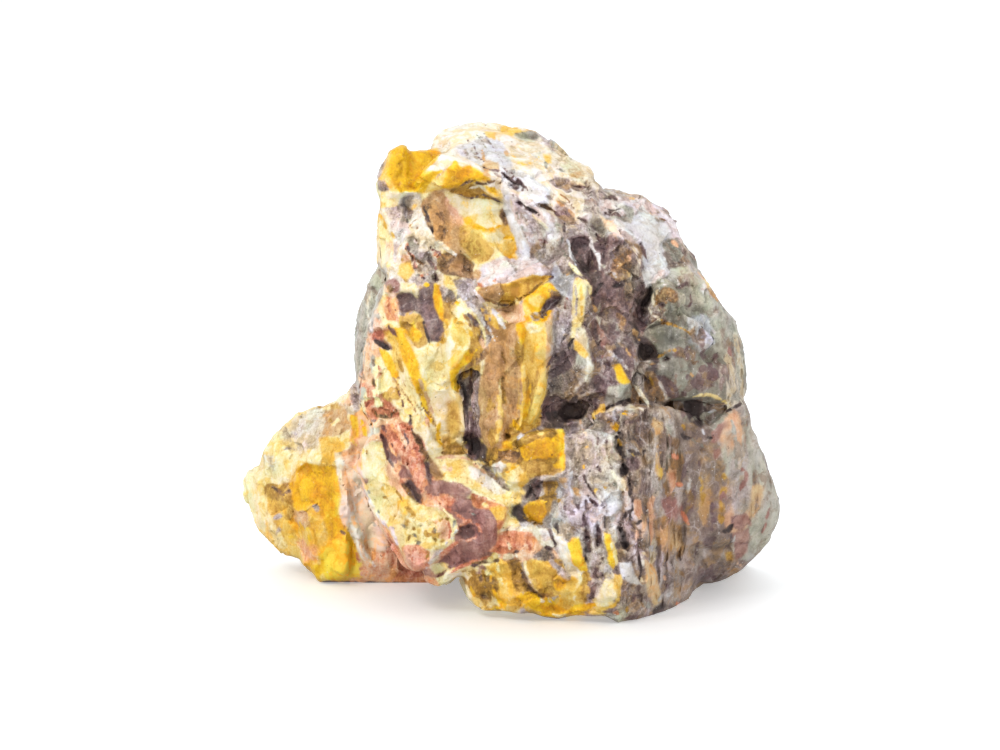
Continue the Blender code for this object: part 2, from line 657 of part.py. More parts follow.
def carve(stone, hollows):
    take_away(stone, hollows)
    reskin(stone)


def keep_largest(mesh):
    """Drops the chips that cutting leaves loose."""
    body = bmesh.new()
    body.from_mesh(mesh)
    left = set(body.verts)
    chips = []
    while left:
        chip = {left.pop()}
        edge_of_chip = list(chip)
        while edge_of_chip:
            beside = {edge.other_vert(vertex) for vertex in edge_of_chip for edge in vertex.link_edges}
            edge_of_chip = list(beside & left)
            chip |= beside & left
            left -= beside
        chips.append(chip)
    chips.sort(key=len)
    for chip in chips[:-1]:
        bmesh.ops.delete(body, geom=list(chip), context="VERTS")
    body.to_mesh(mesh)
    body.free()


def facet_height(point):
    """Height of a surface broken into small tilted facets, from -1 to 1."""
    distances, seeds = noise.voronoi(point)
    tilt = noise.noise_vector(seeds[0] * FACET_TILT_SEED)
    level = noise.noise(seeds[0] * FACET_LEVEL_SEED)
    return max(-1.0, min(1.0, (point - seeds[0]).dot(tilt) * FACET_SLOPE + level))


def outward(mesh):
    """The outward direction at each vertex, summed in a fixed order so that every run agrees."""
    mesh.calc_loop_triangles()
    places = np.empty(len(mesh.vertices) * 3, np.float32)
    mesh.vertices.foreach_get("co", places)
    places = places.reshape(-1, 3).astype(np.float64)
    corners = np.empty(len(mesh.loop_triangles) * 3, np.int32)
    mesh.loop_triangles.foreach_get("vertices", corners)
    corners = corners.reshape(-1, 3)
    first, second, third = places[corners].transpose(1, 0, 2)
    across = np.cross(second - first, third - first)
    directions = np.zeros_like(places)
    for corner in range(3):
        np.add.at(directions, corners[:, corner], across)
    return directions / np.linalg.norm(directions, axis=1, keepdims=True)


def weather(mesh):
    """Gives the skin its broad swell and the small facets that chert breaks into."""
    for vertex, direction in zip(mesh.vertices, outward(mesh)):
        swell = noise.fractal(
            vertex.co / SWELL_SIZE, SWELL_ROUGHNESS, SWELL_STEP_DOWN, SWELL_OCTAVES
        )
        facet = facet_height(vertex.co / FACET_SIZE)
        off_table = min(1.0, max(0.0, vertex.co.z / SOLE_MARGIN))
        vertex.co += Vector(direction) * (swell * SWELL + facet * FACET) * off_table


def keep_front_detail(stone):
    """Marks how readily each part of the skin is thinned: the broken front keeps the most."""
    group = stone.vertex_groups.new(name="keep")
    for vertex in stone.data.vertices:
        behind = (vertex.co.y / STEP - FRONT_PLANE) / STONE_STEPS_DEEP
        group.add([vertex.index], min(1.0, max(0.0, 1.0 - behind)), "REPLACE")
    return group


def thin(stone):
    """Thins the skin where it is plain. It is done in millimetres, which the thinning works best in."""
    stone.data.calc_loop_triangles()
    triangles = len(stone.data.loop_triangles)
    group = keep_front_detail(stone)
    stone.data.transform(Matrix.Scale(MM_PER_M, 4))
    thinning = stone.modifiers.new("thinning", "DECIMATE")
    thinning.ratio = MOST_TRIANGLES / triangles
    thinning.vertex_group = group.name
    thinning.vertex_group_factor = FRONT_KEEPS
    thinning.use_collapse_triangulate = True
    evaluated_copy(stone)
    stone.data.transform(Matrix.Scale(1 / MM_PER_M, 4))


def press_soles(mesh):
    """Brings what lies on the table, but for the last trace, exactly down to it."""
    for vertex in mesh.vertices:
        if vertex.co.z < SOLE_PRESS:
            vertex.co.z = 0.0


def centre_over_origin(mesh):
    lowest = Vector(min(vertex.co[axis] for vertex in mesh.vertices) for axis in range(3))
    highest = Vector(max(vertex.co[axis] for vertex in mesh.vertices) for axis in range(3))
    middle = (lowest + highest) / 2
    mesh.transform(Matrix.Translation((-middle.x, -middle.y, 0)))


def jasper_material():
    material = bpy.data.materials.new("rough_jasper")
    material.use_nodes = True
    surface = material.node_tree.nodes["Principled BSDF"]
    surface.inputs["Base Color"].default_value = (0.42, 0.27, 0.20, 1.0)
    surface.inputs["Roughness"].default_value = 0.55
    surface.inputs["Metallic"].default_value = 0.0
    return material


def clear_scene():
    for old in list(bpy.data.objects):
        bpy.data.objects.remove(old, do_unlink=True)


def main():
    clear_scene()
    blocks = helper_collection("blocks")
    for name, (reach, corners) in BLOCKS.items():
        block(name, reach, corners, blocks)
    hollows = helper_collection("hollows")
    for name, (reach, share, corners) in HOLLOWS.items():
        hollow(name, reach, share, corners, hollows)
    for name, (radius, deepest, outwards) in SCARS.items():
        scar(name, radius, deepest, outwards, hollows)
    table_top(hollows)
    stone = bpy.data.objects.new("jasper", bpy.data.meshes.new("jasper"))
    bpy.context.scene.collection.objects.link(stone)
    fuse(stone, blocks)
    carve(stone, hollows)
    press_soles(stone.data)
    weather(stone.data)
    thin(stone)
    press_soles(stone.data)
    keep_largest(stone.data)
    centre_over_origin(stone.data)
    stone.data.materials.append(jasper_material())


main()
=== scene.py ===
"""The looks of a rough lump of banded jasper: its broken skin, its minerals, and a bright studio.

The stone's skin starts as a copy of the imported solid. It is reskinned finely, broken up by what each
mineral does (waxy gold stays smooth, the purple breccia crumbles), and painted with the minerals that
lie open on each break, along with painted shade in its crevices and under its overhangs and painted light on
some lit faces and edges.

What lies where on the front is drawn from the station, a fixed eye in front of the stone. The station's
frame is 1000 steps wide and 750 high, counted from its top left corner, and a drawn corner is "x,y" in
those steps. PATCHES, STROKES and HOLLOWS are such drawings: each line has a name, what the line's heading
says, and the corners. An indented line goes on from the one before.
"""

import math
from collections import namedtuple

import bpy
import numpy as np
from mathutils import Matrix, Vector
from mathutils.bvhtree import BVHTree
from mathutils.kdtree import KDTree


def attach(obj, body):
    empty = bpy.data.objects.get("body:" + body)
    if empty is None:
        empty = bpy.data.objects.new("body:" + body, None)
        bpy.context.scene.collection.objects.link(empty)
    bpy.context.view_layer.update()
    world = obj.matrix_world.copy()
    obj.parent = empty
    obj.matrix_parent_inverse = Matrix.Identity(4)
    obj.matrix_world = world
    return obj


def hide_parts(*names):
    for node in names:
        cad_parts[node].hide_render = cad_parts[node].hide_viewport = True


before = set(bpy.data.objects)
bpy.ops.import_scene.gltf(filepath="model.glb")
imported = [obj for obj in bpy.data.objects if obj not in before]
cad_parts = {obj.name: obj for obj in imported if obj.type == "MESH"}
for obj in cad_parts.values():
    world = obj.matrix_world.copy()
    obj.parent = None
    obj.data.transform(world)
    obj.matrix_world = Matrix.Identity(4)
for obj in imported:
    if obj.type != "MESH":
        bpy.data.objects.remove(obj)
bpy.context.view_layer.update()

MM = 0.001
FAR = 1e9
TINY = 1e-9
NO_LENGTH = 1e-12

# Large odd numbers that scatter a cell and its seed
CELL_SCATTER = (73856093, 19349663, 83492791)
SEED_SCATTER = 50331653
STIRS = (1274126177, 1911520717)
LOW_31_BITS = 0x7FFFFFFF
LOW_24_BITS = 0xFFFFFF
OCTAVE_FADE = 0.55
OCTAVE_SEED = 17
TILT_SEED = 11
HEIGHT_SEED = 29

# The station: where the eye is, and what it aims at
STATION_DISTANCE = 0.655
STATION_ELEVATION = math.radians(12.0)
STATION_AIM = Vector((-0.0016, 0.0, 0.03424))
STATION_STEP = 0.00016
STATION_WIDE = 1000
STATION_HIGH = 750
SENSOR = 36.0

# The fine skin
SKIN_VOXEL = 0.00036
SKIN_TRIANGLES = 190000
FRONT_KEEPS = 0.02
SHARP_CREASE = math.radians(38)
WELD = 0.000001
SOLE_HEIGHT = 0.0001  # below this a point belongs to the flat sole, and it isn't moved
SOLE_FADE = 0.002
SEEN_SLACK = 0.0006  # how far behind the first thing it hits the eye still counts a point as seen
FRONT_REACH = 0.009  # how far past what is seen from the station the drawn minerals run on
CARVE_FADE = 0.003  # how far behind what is seen the carving fades out
WARP_SIZE = 0.0016  # the size of the wander in the drawn edges, and how far they wander
WARP_STEPS = 1.5
WARP_SEEDS = (81, 82)
SHARPNESS = 3.2  # how sharply one mineral ends where the next begins
STONE_DEPTH = 0.56  # how much of a mineral's full tone the stone gives back, under a bright sky
# How the skin breaks: (chips or grain, size, height) in metres
CRUMBLING = [("chips", 0.0052, 0.00085), ("chips", 0.0024, 0.00042), ("grain", 0.0010, 0.00006)]
CRUMBLING_SEED = 501
# The right flank's foot is worn: where that starts, how wide it fades in, its top and fade, and how much
WORN_FROM = 0.017
WORN_WIDE = 0.010
WORN_TOP = 0.046
WORN_FADE = 0.006
WORN = 0.62
# What counts as proud or sunken, for lighter proud edges and painted shade in crevices: (rounds of
# smoothing, height in metres)
WEAR_AND_SHADE_SCALES = [(3, 0.00006), (10, 0.00020)]

Mineral = namedtuple("Mineral", "dark middle light stain stained specked veined pitted roughness crumble")

# name: (dark, middle and light tones, stain; how much is stained, specked white, veined and pitted; finish)
MINERALS = {
    "cream": Mineral((204, 172, 104), (240, 221, 160), (250, 241, 208), (228, 188, 88),
                     0.30, 0.0, 0.0, 0.22, 0.50, 0.40),
    "pale": Mineral((178, 162, 140), (224, 213, 192), (246, 240, 228), (206, 182, 140),
                    0.5, 0.0, 0.0, 0.28, 0.50, 0.45),
    "chalk": Mineral((158, 146, 144), (210, 200, 198), (242, 236, 236), (190, 164, 154),
                     0.5, 0.2, 0.2, 0.30, 0.45, 0.50),
    "ice": Mineral((154, 150, 154), (208, 206, 208), (242, 241, 243), (186, 178, 168),
                   0.45, 0.3, 0.0, 0.22, 0.35, 0.30),
    "honey": Mineral((184, 132, 46), (229, 184, 80), (246, 219, 138), (232, 174, 50),
                     0.30, 0.0, 0.0, 0.18, 0.42, 0.35),
    "gold": Mineral((186, 130, 10), (238, 184, 22), (249, 220, 72), (234, 156, 8),
                    0.35, 0.0, 0.0, 0.10, 0.36, 0.30),
    "ochre": Mineral((108, 76, 28), (180, 135, 54), (224, 184, 94), (146, 102, 36),
                     0.35, 0.0, 0.0, 0.22, 0.42, 0.40),
    "tan": Mineral((148, 108, 66), (196, 154, 104), (226, 196, 152), (204, 150, 86),
                   0.30, 0.1, 0.0, 0.25, 0.45, 0.40),
    "peach": Mineral((196, 136, 98), (228, 182, 144), (248, 222, 196), (230, 176, 130),
                     0.35, 0.1, 0.1, 0.22, 0.50, 0.45),
    "ember": Mineral((168, 92, 52), (222, 144, 98), (246, 206, 168), (228, 160, 90),
                     0.35, 0.1, 0.1, 0.22, 0.50, 0.40),
    "brick": Mineral((140, 74, 52), (198, 116, 84), (234, 178, 146), (206, 134, 90),
                     0.30, 0.1, 0.15, 0.28, 0.55, 0.55),
    "maroon": Mineral((98, 62, 58), (150, 101, 91), (190, 148, 134), (118, 80, 76),
                      0.30, 0.1, 0.15, 0.18, 0.42, 0.35),
    "rust": Mineral((78, 58, 44), (130, 98, 68), (184, 150, 108), (164, 116, 62),
                    0.35, 0.1, 0.1, 0.30, 0.50, 0.65),
    # Near-black: a few dark specks of the stone, but mostly painted shade laid in crevices, slits, pits and
    # holes
    "pitch": Mineral((40, 32, 31), (68, 55, 53), (106, 88, 82), (72, 58, 58),
                     0.30, 0.0, 0.0, 0.10, 0.60, 0.45),
    "plum": Mineral((66, 49, 50), (108, 85, 84), (152, 127, 122), (116, 86, 78),
                    0.30, 0.15, 0.2, 0.20, 0.40, 0.55),
    "mauve": Mineral((84, 68, 63), (134, 114, 104), (184, 166, 156), (156, 124, 88),
                     0.35, 0.35, 0.35, 0.30, 0.45, 0.75),
    "ash": Mineral((122, 108, 99), (168, 153, 144), (214, 203, 196), (176, 156, 130),
                   0.30, 0.35, 0.3, 0.30, 0.48, 0.70),
    "slate": Mineral((112, 107, 95), (160, 155, 140), (200, 195, 180), (136, 118, 102),
                     0.30, 0.15, 0.2, 0.25, 0.48, 0.45),
}
MINERAL_NAMES = list(MINERALS)

# How a mineral can lie, where it isn't solid: (size of its blotches in metres, share of the patch,
# softness, softness of its edge in steps)
LIES = {
    "mottled": (0.0026, 0.50, 0.40, 7),
    "flecked": (0.0012, 0.42, 0.35, 7),
    "sparse": (0.0014, 0.25, 0.35, 6),
    "streaked": (0.0014, 0.55, 0.50, 8),
    "washed": (0.0060, 0.70, 0.80, 12),
}
BLOTCH_SEED = 300
BLOTCH_CONTRAST = 0.8
EDGE = 6.0  # softness of a solid patch's edge, in steps
LEAN = 0.17  # how steeply each patch leans, in a heading of its own, and how far from its middle
LEAN_REACH = 22
LEAN_TURN = 2.4
STREAK_STRETCH = 0.22
STROKE_BODY = 0.9
STROKE_BREAKS = 0.0008  # a stroke is broken by noise of this size and seed: so whole, and so uneven
STROKE_BREAKS_SEED = 310
STROKE_WHOLE = 0.8
STROKE_UNEVEN = 1.4
STROKE_ENDS = 0.35  # a stroke's width at its ends, over its width in the middle
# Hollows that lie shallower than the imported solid's: name, how far the bed is before what the station aims
# at, in millimetres, and the outline
HOLLOWS = """
groove_hollow 16.4 446,354 470,350 492,356 490,400 490,440 452,440 454,400 446,388
groove_foot 14.4 454,434 492,434 494,460 474,472 452,462
cavern_hollow 17.9 526,392 552,382 590,382 614,394 614,430 596,446 556,448 524,440
cavern_pocket 14.6 562,405 568,402 582,403 588,410 582,418 566,419 561,413
pit_hollow 10.4 670,398 690,394 708,396 712,410 708,428 696,430 684,420 670,412
pit_slope 8.9 706,394 742,398 742,410 722,428 706,430
knot_hollow 16.9 616,356 664,356 664,402 616,402
cleft_hollow 15.8 636,340 664,340 664,358 636,358
scoop_hollow 17.4 562,232 604,232 606,276 580,280 566,262
lens_hollow 18.6 482,301 516,301 518,316 486,314
"""
HOLLOW_EDGE = 6.0
HOLLOW_TURN = 0.25  # a face that turns away from the station more than this is on the far side
HOLLOW_REACH = 0.1  # how far behind what is seen a face still comes along
HOLLOW_FADE = 0.02  # the same on the far side
HOLLOW_TAKES = 0.88  # how much of the way to the bed a point is brought

# What lies on the front: name, mineral, how light in tenths from -10 to 10, how it lies where it isn't
# solid, how deep in tenths of a millimetre where it is carved in or raised, and the outline. How light a
# patch is holds painted shade and light as well as the mineral's own tone, where a face is shaded or lit
# Laid last over the columns, the groove and the lens; the dark wash under the lens is painted shadow
# Laid last over the lobe, and over the cream slab's edge. The band, dawn and seam in the crease are painted
# lighter than their pale peach, as painted light that lifts the crease's shade
# The beak: an orange hook under a pale ridge whose paleness is partly a painted highlight, with a slit
# beneath painted dark as the shadow under the hook
# The brown face between them; the pale ledge at its foot is the slab's lip, its top painted light as a
# highlight
# The foot of the columns, the mouth of the cavern with painted shade deep inside it, and the gold cube,
# whose top, front and right side are painted in different tones as the shading of its faces
# The foot of the slab, painted dark along its bottom edge as the contact shade there
# The toe: amber and gold, in facets. Under the saddle, pale tones are painted light that lifts the shade
# there
PATCHES = """
# The grounds that the rest lies on
ground_left cream 3 335,180 520,180 520,640 335,640
ground_right mauve -1.5 540,270 620,230 700,180 830,300 830,640 640,640 600,560 540,420
cavern plum -2 mottled 540,404 556,394 580,394 602,402 590,418 562,428 545,420
cube ochre 2 500,456 507,440 530,434 550,430 568,436 568,468 552,476 515,482 500,478
flakes brick 0 mottled 363,385 400,400 425,440 432,490 424,502 410,490 385,440 368,430
cream_slab cream 2 362,445 385,440 402,490 432,508 456,522 440,556 415,571 380,520 357,466
maroon_slab maroon 0 440,500 462,500 492,508 498,540 490,556 446,572 440,586 425,577 455,545
orange_strip peach 0 495,526 545,528 560,560 500,562
toe honey 0 mottled 460,575 500,560 560,560 600,555 625,600 600,616 550,620 485,614
boulder slate -8 mottled 645,285 700,275 745,330 745,400 645,400
far_side slate 6 streaked 715,290 760,300 790,520 735,570 735,420 720,350
slab mauve 2 streaked 620,410 690,412 690,590 640,625 625,560
lobe cream 3 235,390 350,390 350,590 235,590
lobe_gold honey 1 298,466 336,464 346,500 354,540 352,590 280,590 262,540 268,505 282,492
lobe_peach ember 10 350,400 440,480 440,590 350,590
# The crown behind the beak, washed by the light
crown pale 7 430,110 560,115 600,175 600,215 560,235 500,190 440,165 425,150
peach pale 9 436,142 450,128 500,124 541,131 545,150 510,160 500,148 470,140 452,150
milk ice 2 455,147 485,136 503,140 513,152 512,170 482,166 460,158
cream pale 4 503,138 538,140 544,156 532,168 516,164 506,152
rim_gold honey 1 500,127 511,124 521,130 535,130 528,134 512,136 500,134
rim_brown slate -2 2 515,134 530,131 541,134 537,140 520,140
rust_spot honey -1 484,131 497,132 495,138 486,136
slope pale -1 538,130 556,140 575,154 592,170 603,190 590,188 572,174 556,167 552,150
slope_shade ash 1 1 538,132 550,138 556,150 552,153 545,145
tan_spot honey 0 1 543,154 551,154 552,164 546,163
milk_flow ice 5 -2 498,170 520,170 537,180 551,190 548,204 536,204 524,194 510,188 503,180
tan_step tan 2 mottled 1 568,173 586,171 592,180 584,186 570,182
brown_rib ash -5 -3 582,186 593,188 601,204 608,216 596,214 588,200
pale_flake pale 1 -3 564,192 584,190 589,205 601,216 590,222 575,215 560,203
far_step ash 0 mottled 598,186 625,193 622,204 604,200
far_white chalk 0 -2 600,200 622,205 640,215 630,222 606,210
# The crest: a wedge of orange gold with a grey tip
crest honey -1 389,146 398,143 408,146 441,150 430,168 416,192 390,196 378,182 384,166
gold gold -2 406,146 421,152 437,149 441,154 431,165 418,178 412,167 400,160 399,150
shade gold -6 3 402,164 409,168 417,178 417,191 398,192 395,184
orange gold -1 392,150 400,148 405,158 398,168 392,180 386,176
tip mauve -1 2 378,182 384,180 388,188 389,197 383,197 378,191
# The left margin, with a pale ridge in front
margin pale 1 376,196 420,194 425,215 440,245 445,290 385,295 378,270
cream cream 4 378,192 404,192 412,196 404,207 385,208 378,205
knob honey -1 378,201 385,202 387,207 379,208
grey ash 5.5 1 384,208 402,206 411,213 404,224 388,218
milk chalk 4 388,220 408,222 412,232 403,242 396,262 391,262 394,240
edge cream 3 377,212 386,224 392,240 393,264 382,268 378,250
tail peach 8 384,240 392,242 392,262 385,262
notch_grey ash 6 3 401,197 412,193 413,204 404,216 399,210
flank slate 9.5 378,262 388,276 384,300 378,340 372,372 362,402 350,396 350,330 356,296
flank_shade slate 4 streaked 1 366,284 376,278 374,300 368,345 360,380 356,340
pit_grey slate -2 5 407,240 413,235 419,240 419,248 412,251 407,248
pit_olive slate -3 4 411,250 418,250 424,257 424,262 416,261 413,256
pit_tan peach 0 1 400,255 407,255 410,262 403,266
pit_yellow honey 5 399,265 410,261 415,272 406,281 397,275
bead maroon 1 -4 388,280 395,278 401,284 400,291 393,295 387,292 385,286
bead_rust rust 2 386,287 390,284 395,290 391,294
bead_pale cream 6 401,283 416,283 418,294 402,293
gold_fleck gold -4 438,255 444,254 446,262 442,267 437,262
ochre_rubble ochre -4 mottled 1 437,262 446,257 460,255 470,262 473,273 468,283 455,279 440,278
rubble_grey mauve 1 2 461,262 470,266 472,279 463,276
ochre_chip ochre 0 420,278 428,274 433,282 428,289 421,292 418,285
# The beak: an orange hook under a pale ridge, with a slit beneath
ridge pale 9 -3 416,186 423,173 434,165 445,155 452,151 465,158 482,168 502,180 492,182 470,170 452,164
left gold -1 417,183 423,175 432,171 442,171 436,177 430,185 424,194 418,192
middle honey 7 430,185 438,177 450,167 446,178 443,189 436,191 427,192
face gold -5 449,168 455,161 461,168 470,165 478,170 487,176 494,181 474,181 465,183 458,187 448,189
 442,187
under ochre -4 3 445,190 457,187 466,181 476,184 466,190 460,194 452,194
chip ochre 1 2 456,193 466,188 478,186 486,192 494,197 502,200 490,202 476,198 464,198
tick gold 0 483,186 494,187 500,197 494,195 488,190
# The plates under the beak, brown and mustard, and the milky rib
plate_top cream 5 -2 445,192 457,197 478,200 500,203 506,208 502,213 480,211 466,216 456,214 450,204
brown_plate tan -2.5 424,200 434,190 443,190 450,202 457,214 463,226 466,242 468,254 456,254 446,247
 436,239 429,228 422,216 420,207
brown_plate_specks rust -4 flecked 1 422,205 436,200 444,212 450,232 444,244 434,236 424,218
brown_plate_mauve tan -3 mottled 446,212 456,216 463,230 465,250 455,252 448,236
mustard_plate honey 5 462,218 470,213 484,210 502,211 509,222 515,233 519,246 516,258 509,260 502,253
 495,248 489,258 483,264 476,265 470,256 465,244 462,232
mustard_deep ochre 7 1 466,232 478,236 488,242 494,252 488,260 480,262 473,258 468,246
mustard_pale cream 3 -1 480,214 498,213 503,222 497,230 484,228 476,222
mustard_light cream 4 482,232 500,232 508,238 500,244 488,240
mustard_spot gold 1 462,218 469,215 473,220 466,225
plate_shade rust 1 2 502,207 509,212 509,224 504,226 500,216
rubble_of_chalk chalk 2 510,190 540,206 562,222 565,242 558,264 536,264 528,250 520,232 512,210
rubble_mauve ash 6 streaked 1 519,210 546,222 552,240 536,244 526,232
rib ice 8 -4 503,177 511,180 509,190 509,202 513,214 519,226 525,238 530,252 530,264 519,263 517,250
 514,236 508,222 504,206 502,192
milk_hollow slate 2 2 555,222 563,223 563,233 556,233
pink_hollow mauve 6 531,245 548,243 551,255 540,263 531,259
brown_chip ash -3 -2 534,256 545,244 557,239 560,248 553,262 545,270 537,265
# The white ledge and the ochre lens under it
ledge chalk 5 -5 474,278 480,268 492,261 500,256 520,262 536,261 547,272 542,277 528,279 515,283 500,285
 487,289 474,289
ledge_cream chalk 5 512,262 536,260 546,272 530,277 516,272
ledge_pink brick 7 flecked 1 474,278 500,276 514,278 502,286 476,290
ledge_nub cream 2 -2 471,288 480,287 482,296 474,297
lens honey -9 480,291 490,288 503,284 520,278 535,275 550,277 541,282 534,289 527,296 518,299 510,305
 500,303 491,298 481,296
lens_brown tan -9 476,292 488,286 500,284 504,294 498,301 490,300 481,297
ledge_left tan 3 mottled 460,262 474,264 482,272 476,284 464,282 458,272
# Laid last over the crown, the beak and the plates
plate_glow cream 8 -1 446,196 462,199 484,202 500,205 498,212 478,212 464,215 458,212 450,204
crown_rubble ash 2.5 mottled 2 548,176 566,178 584,184 600,190 606,204 600,222 584,226 566,222 552,206
 546,190
rubble_left_dim ash 1 mottled 1 402,248 424,252 446,262 450,280 440,290 424,288 408,278 402,262
mustard_shade ochre 5 washed 460,226 476,234 482,252 480,264 466,262 458,246
rubble_olive rust 0 1 438,256 450,252 464,256 474,264 472,276 460,276 446,276 438,268
rib_rubble mauve 7 mottled 1 530,240 546,238 560,246 560,262 548,274 536,262
flow_green ochre 9 washed 450,384 462,392 464,430 456,436 450,410
horn_ember gold -5 washed 398,150 414,154 432,152 430,160 412,164 398,160
horn_olive gold -4 396,168 410,164 420,172 416,186 400,190 394,180
beak_ember gold -8 washed 446,180 452,172 462,176 470,182 456,186
plate_low mauve -3 streaked 547,380 560,375 573,368 583,364 588,378 577,394 566,404 548,408 544,392
plate_light peach 1 washed 446,204 456,208 462,222 452,226 446,214
crown_tan tan 3 mottled 482,160 498,162 500,178 484,176
# The legs of purple, the olive lobe and the cream flow with its gold ribbons
pink_margin peach 5 mottled 384,290 398,296 400,330 396,350 380,360 372,375 362,400 358,380 362,350
 370,325
margin_cream_low cream 6 384,290 392,296 394,318 400,328 390,330 382,316 378,310
margin_orange ember 5 386,296 391,297 394,312 393,320 388,312
margin_spot honey -1 392,297 399,298 398,307 393,306
leg_left plum 3 2 398,295 405,292 413,293 420,302 434,300 443,318 446,334 440,342 430,342 426,330 423,318
 414,311 404,314 396,308
leg_left_tan tan -4 mottled 428,322 440,330 446,334 441,343 430,342
leg_dark plum 4 3 420,290 430,282 435,284 434,304 424,304 418,300
leg_right mauve 0 2 439,287 452,290 456,298 450,308 446,316 441,302
leg_right_grey mauve -3 1 441,289 449,292 448,300 442,298
leg_stripe gold -0.5 435,284 440,285 441,298 445,308 446,322 440,318 435,308 433,298
olive_lobe ochre 8 -2 401,316 412,313 420,316 425,324 427,334 427,346 418,350 410,340 404,330 399,322
olive_lobe_gold gold 1 mottled 399,318 412,312 421,318 427,335 425,345 412,343 402,333
olive_lobe_dark ochre 5 401,316 409,314 412,322 410,334 402,326
flow cream 2 392,330 404,330 414,348 426,350 432,344 446,346 449,320 470,345 462,366 450,376 452,392
 466,410 468,440 452,452 436,444 424,420 404,382 394,356
flow_grey cream -2.5 washed 430,354 444,356 446,372 438,384 432,402 424,380 424,362
flow_tan tan 4 mottled 388,374 404,376 414,392 422,420 418,432 404,420 392,400
cream_tail cream 5 washed 426,386 446,384 462,400 466,436 452,450 438,440 430,412
red_blob brick -3 mottled 2 370,333 378,329 388,329 396,330 396,342 390,350 380,346 372,340
red_blob_shade maroon -4 3 374,338 384,340 392,346 393,350 386,348 378,344
pink_low peach 1 mottled 362,350 372,342 384,352 388,372 396,400 388,410 372,392 362,384
column cream 7 -2 449,306 456,301 464,305 468,320 473,336 474,346 466,356 456,366 448,376 446,358 448,336
column_gold honey 3 449,314 458,318 466,330 470,344 462,348 452,340
column_low honey 5 452,350 466,350 466,362 456,372 449,372
column_edge gold -5 1 468,328 474,332 476,346 482,350 478,358 470,364 462,368 458,374 450,380 450,372
 460,362 466,352 472,344
column_foot gold 0 -2 450,376 456,379 462,386 458,391 451,388
groove_bed mauve -1 459,366 478,364 482,380 482,430 486,440 478,438 464,438 463,400 457,386
groove plum 6 streaked 470,364 480,358 488,352 488,362 482,380 480,400 482,424 486,446 486,462 470,464
 464,444 466,424 464,400 460,386 462,376
groove_dark plum -4 streaked 464,380 470,372 474,380 470,396 472,420 474,444 478,460 470,462 465,446
 467,424 466,400
vein_grey ash -1 452,280 476,278 476,292 484,306 494,322 500,336 490,350 486,346 484,330 476,314 466,304
 458,296
vein_blue slate 0 2 466,314 474,316 480,328 483,344 478,342 474,330
margin_amber honey 3 mottled 384,332 396,330 404,344 414,352 424,352 428,372 430,392 420,396 408,384
 396,368 386,352
margin_flame cream 4 washed 396,340 406,342 420,366 432,400 436,424 426,420 412,392 400,362
column_flank ochre 4 472,312 480,330 484,346 482,358 470,364 470,350 473,334
column_head_honey ochre 6 washed 444,302 458,300 462,316 452,324 444,318
rubble_grey_chalk chalk -2 mottled 440,282 460,284 462,298 444,298
# The golden columns and the grey strip beside them
under_lens peach 1 2 496,309 512,306 527,304 525,318 515,324 502,318
under_lens_pale peach 8 505,317 520,312 527,320 514,327
knob gold 0 -4 529,293 539,286 548,282 557,286 564,293 556,297 546,300 543,308 537,311 529,311 525,303
knob_pale honey 3 531,298 541,294 545,298 540,306 531,308
knob_brown rust 1 549,290 563,292 561,300 551,298
knob_cream honey 6 524,300 531,296 532,312 528,318 523,310
notch plum -4 8 543,308 548,299 556,296 563,298 559,304 552,309 546,311
columns honey 2 500,332 516,325 545,320 552,312 552,345 549,372 545,400 540,425 524,434 500,436 500,400
tan_column tan -5 1 489,346 500,332 506,335 506,440 500,462 486,464 480,400 480,385 484,366
tan_column_top tan -3 492,338 500,333 505,336 504,352 494,356 489,350
tan_column_orange tan -4 486,358 498,356 498,378 488,378
tan_column_low ochre 2 mottled 482,384 502,380 502,440 488,450
brown_column tan -2 2 507,333 522,327 524,342 522,360 520,374 518,400 515,432 506,434 507,380
brown_column_dark ochre -1 517,340 523,342 524,354 521,366 517,364 514,352
gold_cap gold -2 -2 515,325 527,322 527,336 522,345 518,336
honey_light cream 5 524,324 546,321 540,332 530,334
honey_gold ochre 3 streaked 526,380 536,366 544,364 540,386 534,410 526,414
beige_edge tan 5 546,322 553,310 554,338 550,364 546,378
grey_strip ash 3 washed 2 551,320 556,308 563,299 569,295 573,284 574,312 572,328 568,342 560,354 552,364
 549,374
grey_strip_mauve ash -2 washed 1 556,314 566,300 569,318 564,336 556,342
finger cream -4 -3 571,282 578,277 587,282 585,306 582,322 578,330 572,342 569,348 572,328 573,312
finger_tip pale 0 -2 577,327 584,329 588,342 592,354 594,368 588,384 583,380 586,364 578,350 573,342
finger_gold honey 0 575,340 582,344 590,356 583,360 574,350
finger_grey slate 3 573,352 584,358 588,364 578,366
plate plum -1 3 549,374 556,363 562,353 570,348 577,352 573,366 565,373 553,379
plate_ash ash -2 streaked 565,374 582,364 586,376 574,384
# The dark scoop, the brown face and the shoulder over them
face plum 0 mottled 588,222 604,234 630,242 640,256 644,290 636,330 640,360 646,400 610,402 594,392
 590,350 592,300
ridge_left ash -3 streaked 559,226 567,226 569,246 571,262 568,277 561,280 556,264 559,246
ridge_foot ice -7 554,262 562,276 574,275 572,300 562,294 550,280
scoop_top ash -4 mottled 565,228 575,221 588,221 593,232 585,238 567,238
scoop plum -3 1 567,237 586,234 591,241 597,252 600,264 601,276 597,284 590,285 583,279 575,268 571,252
face_high plum -2 mottled 592,226 604,236 630,243 628,260 612,270 604,262 597,246
face_rust rust -5 -1 612,264 618,257 628,249 634,251 634,262 630,276 624,284 615,280 610,272
face_right mauve -1 streaked 632,248 641,260 643,280 638,294 631,302 630,280
face_low plum 0 streaked 1 592,298 600,287 610,278 618,290 634,292 634,310 628,330 602,326
shoulder chalk 4 598,206 612,196 636,198 660,206 676,222 684,245 660,262 640,244 622,238 606,228
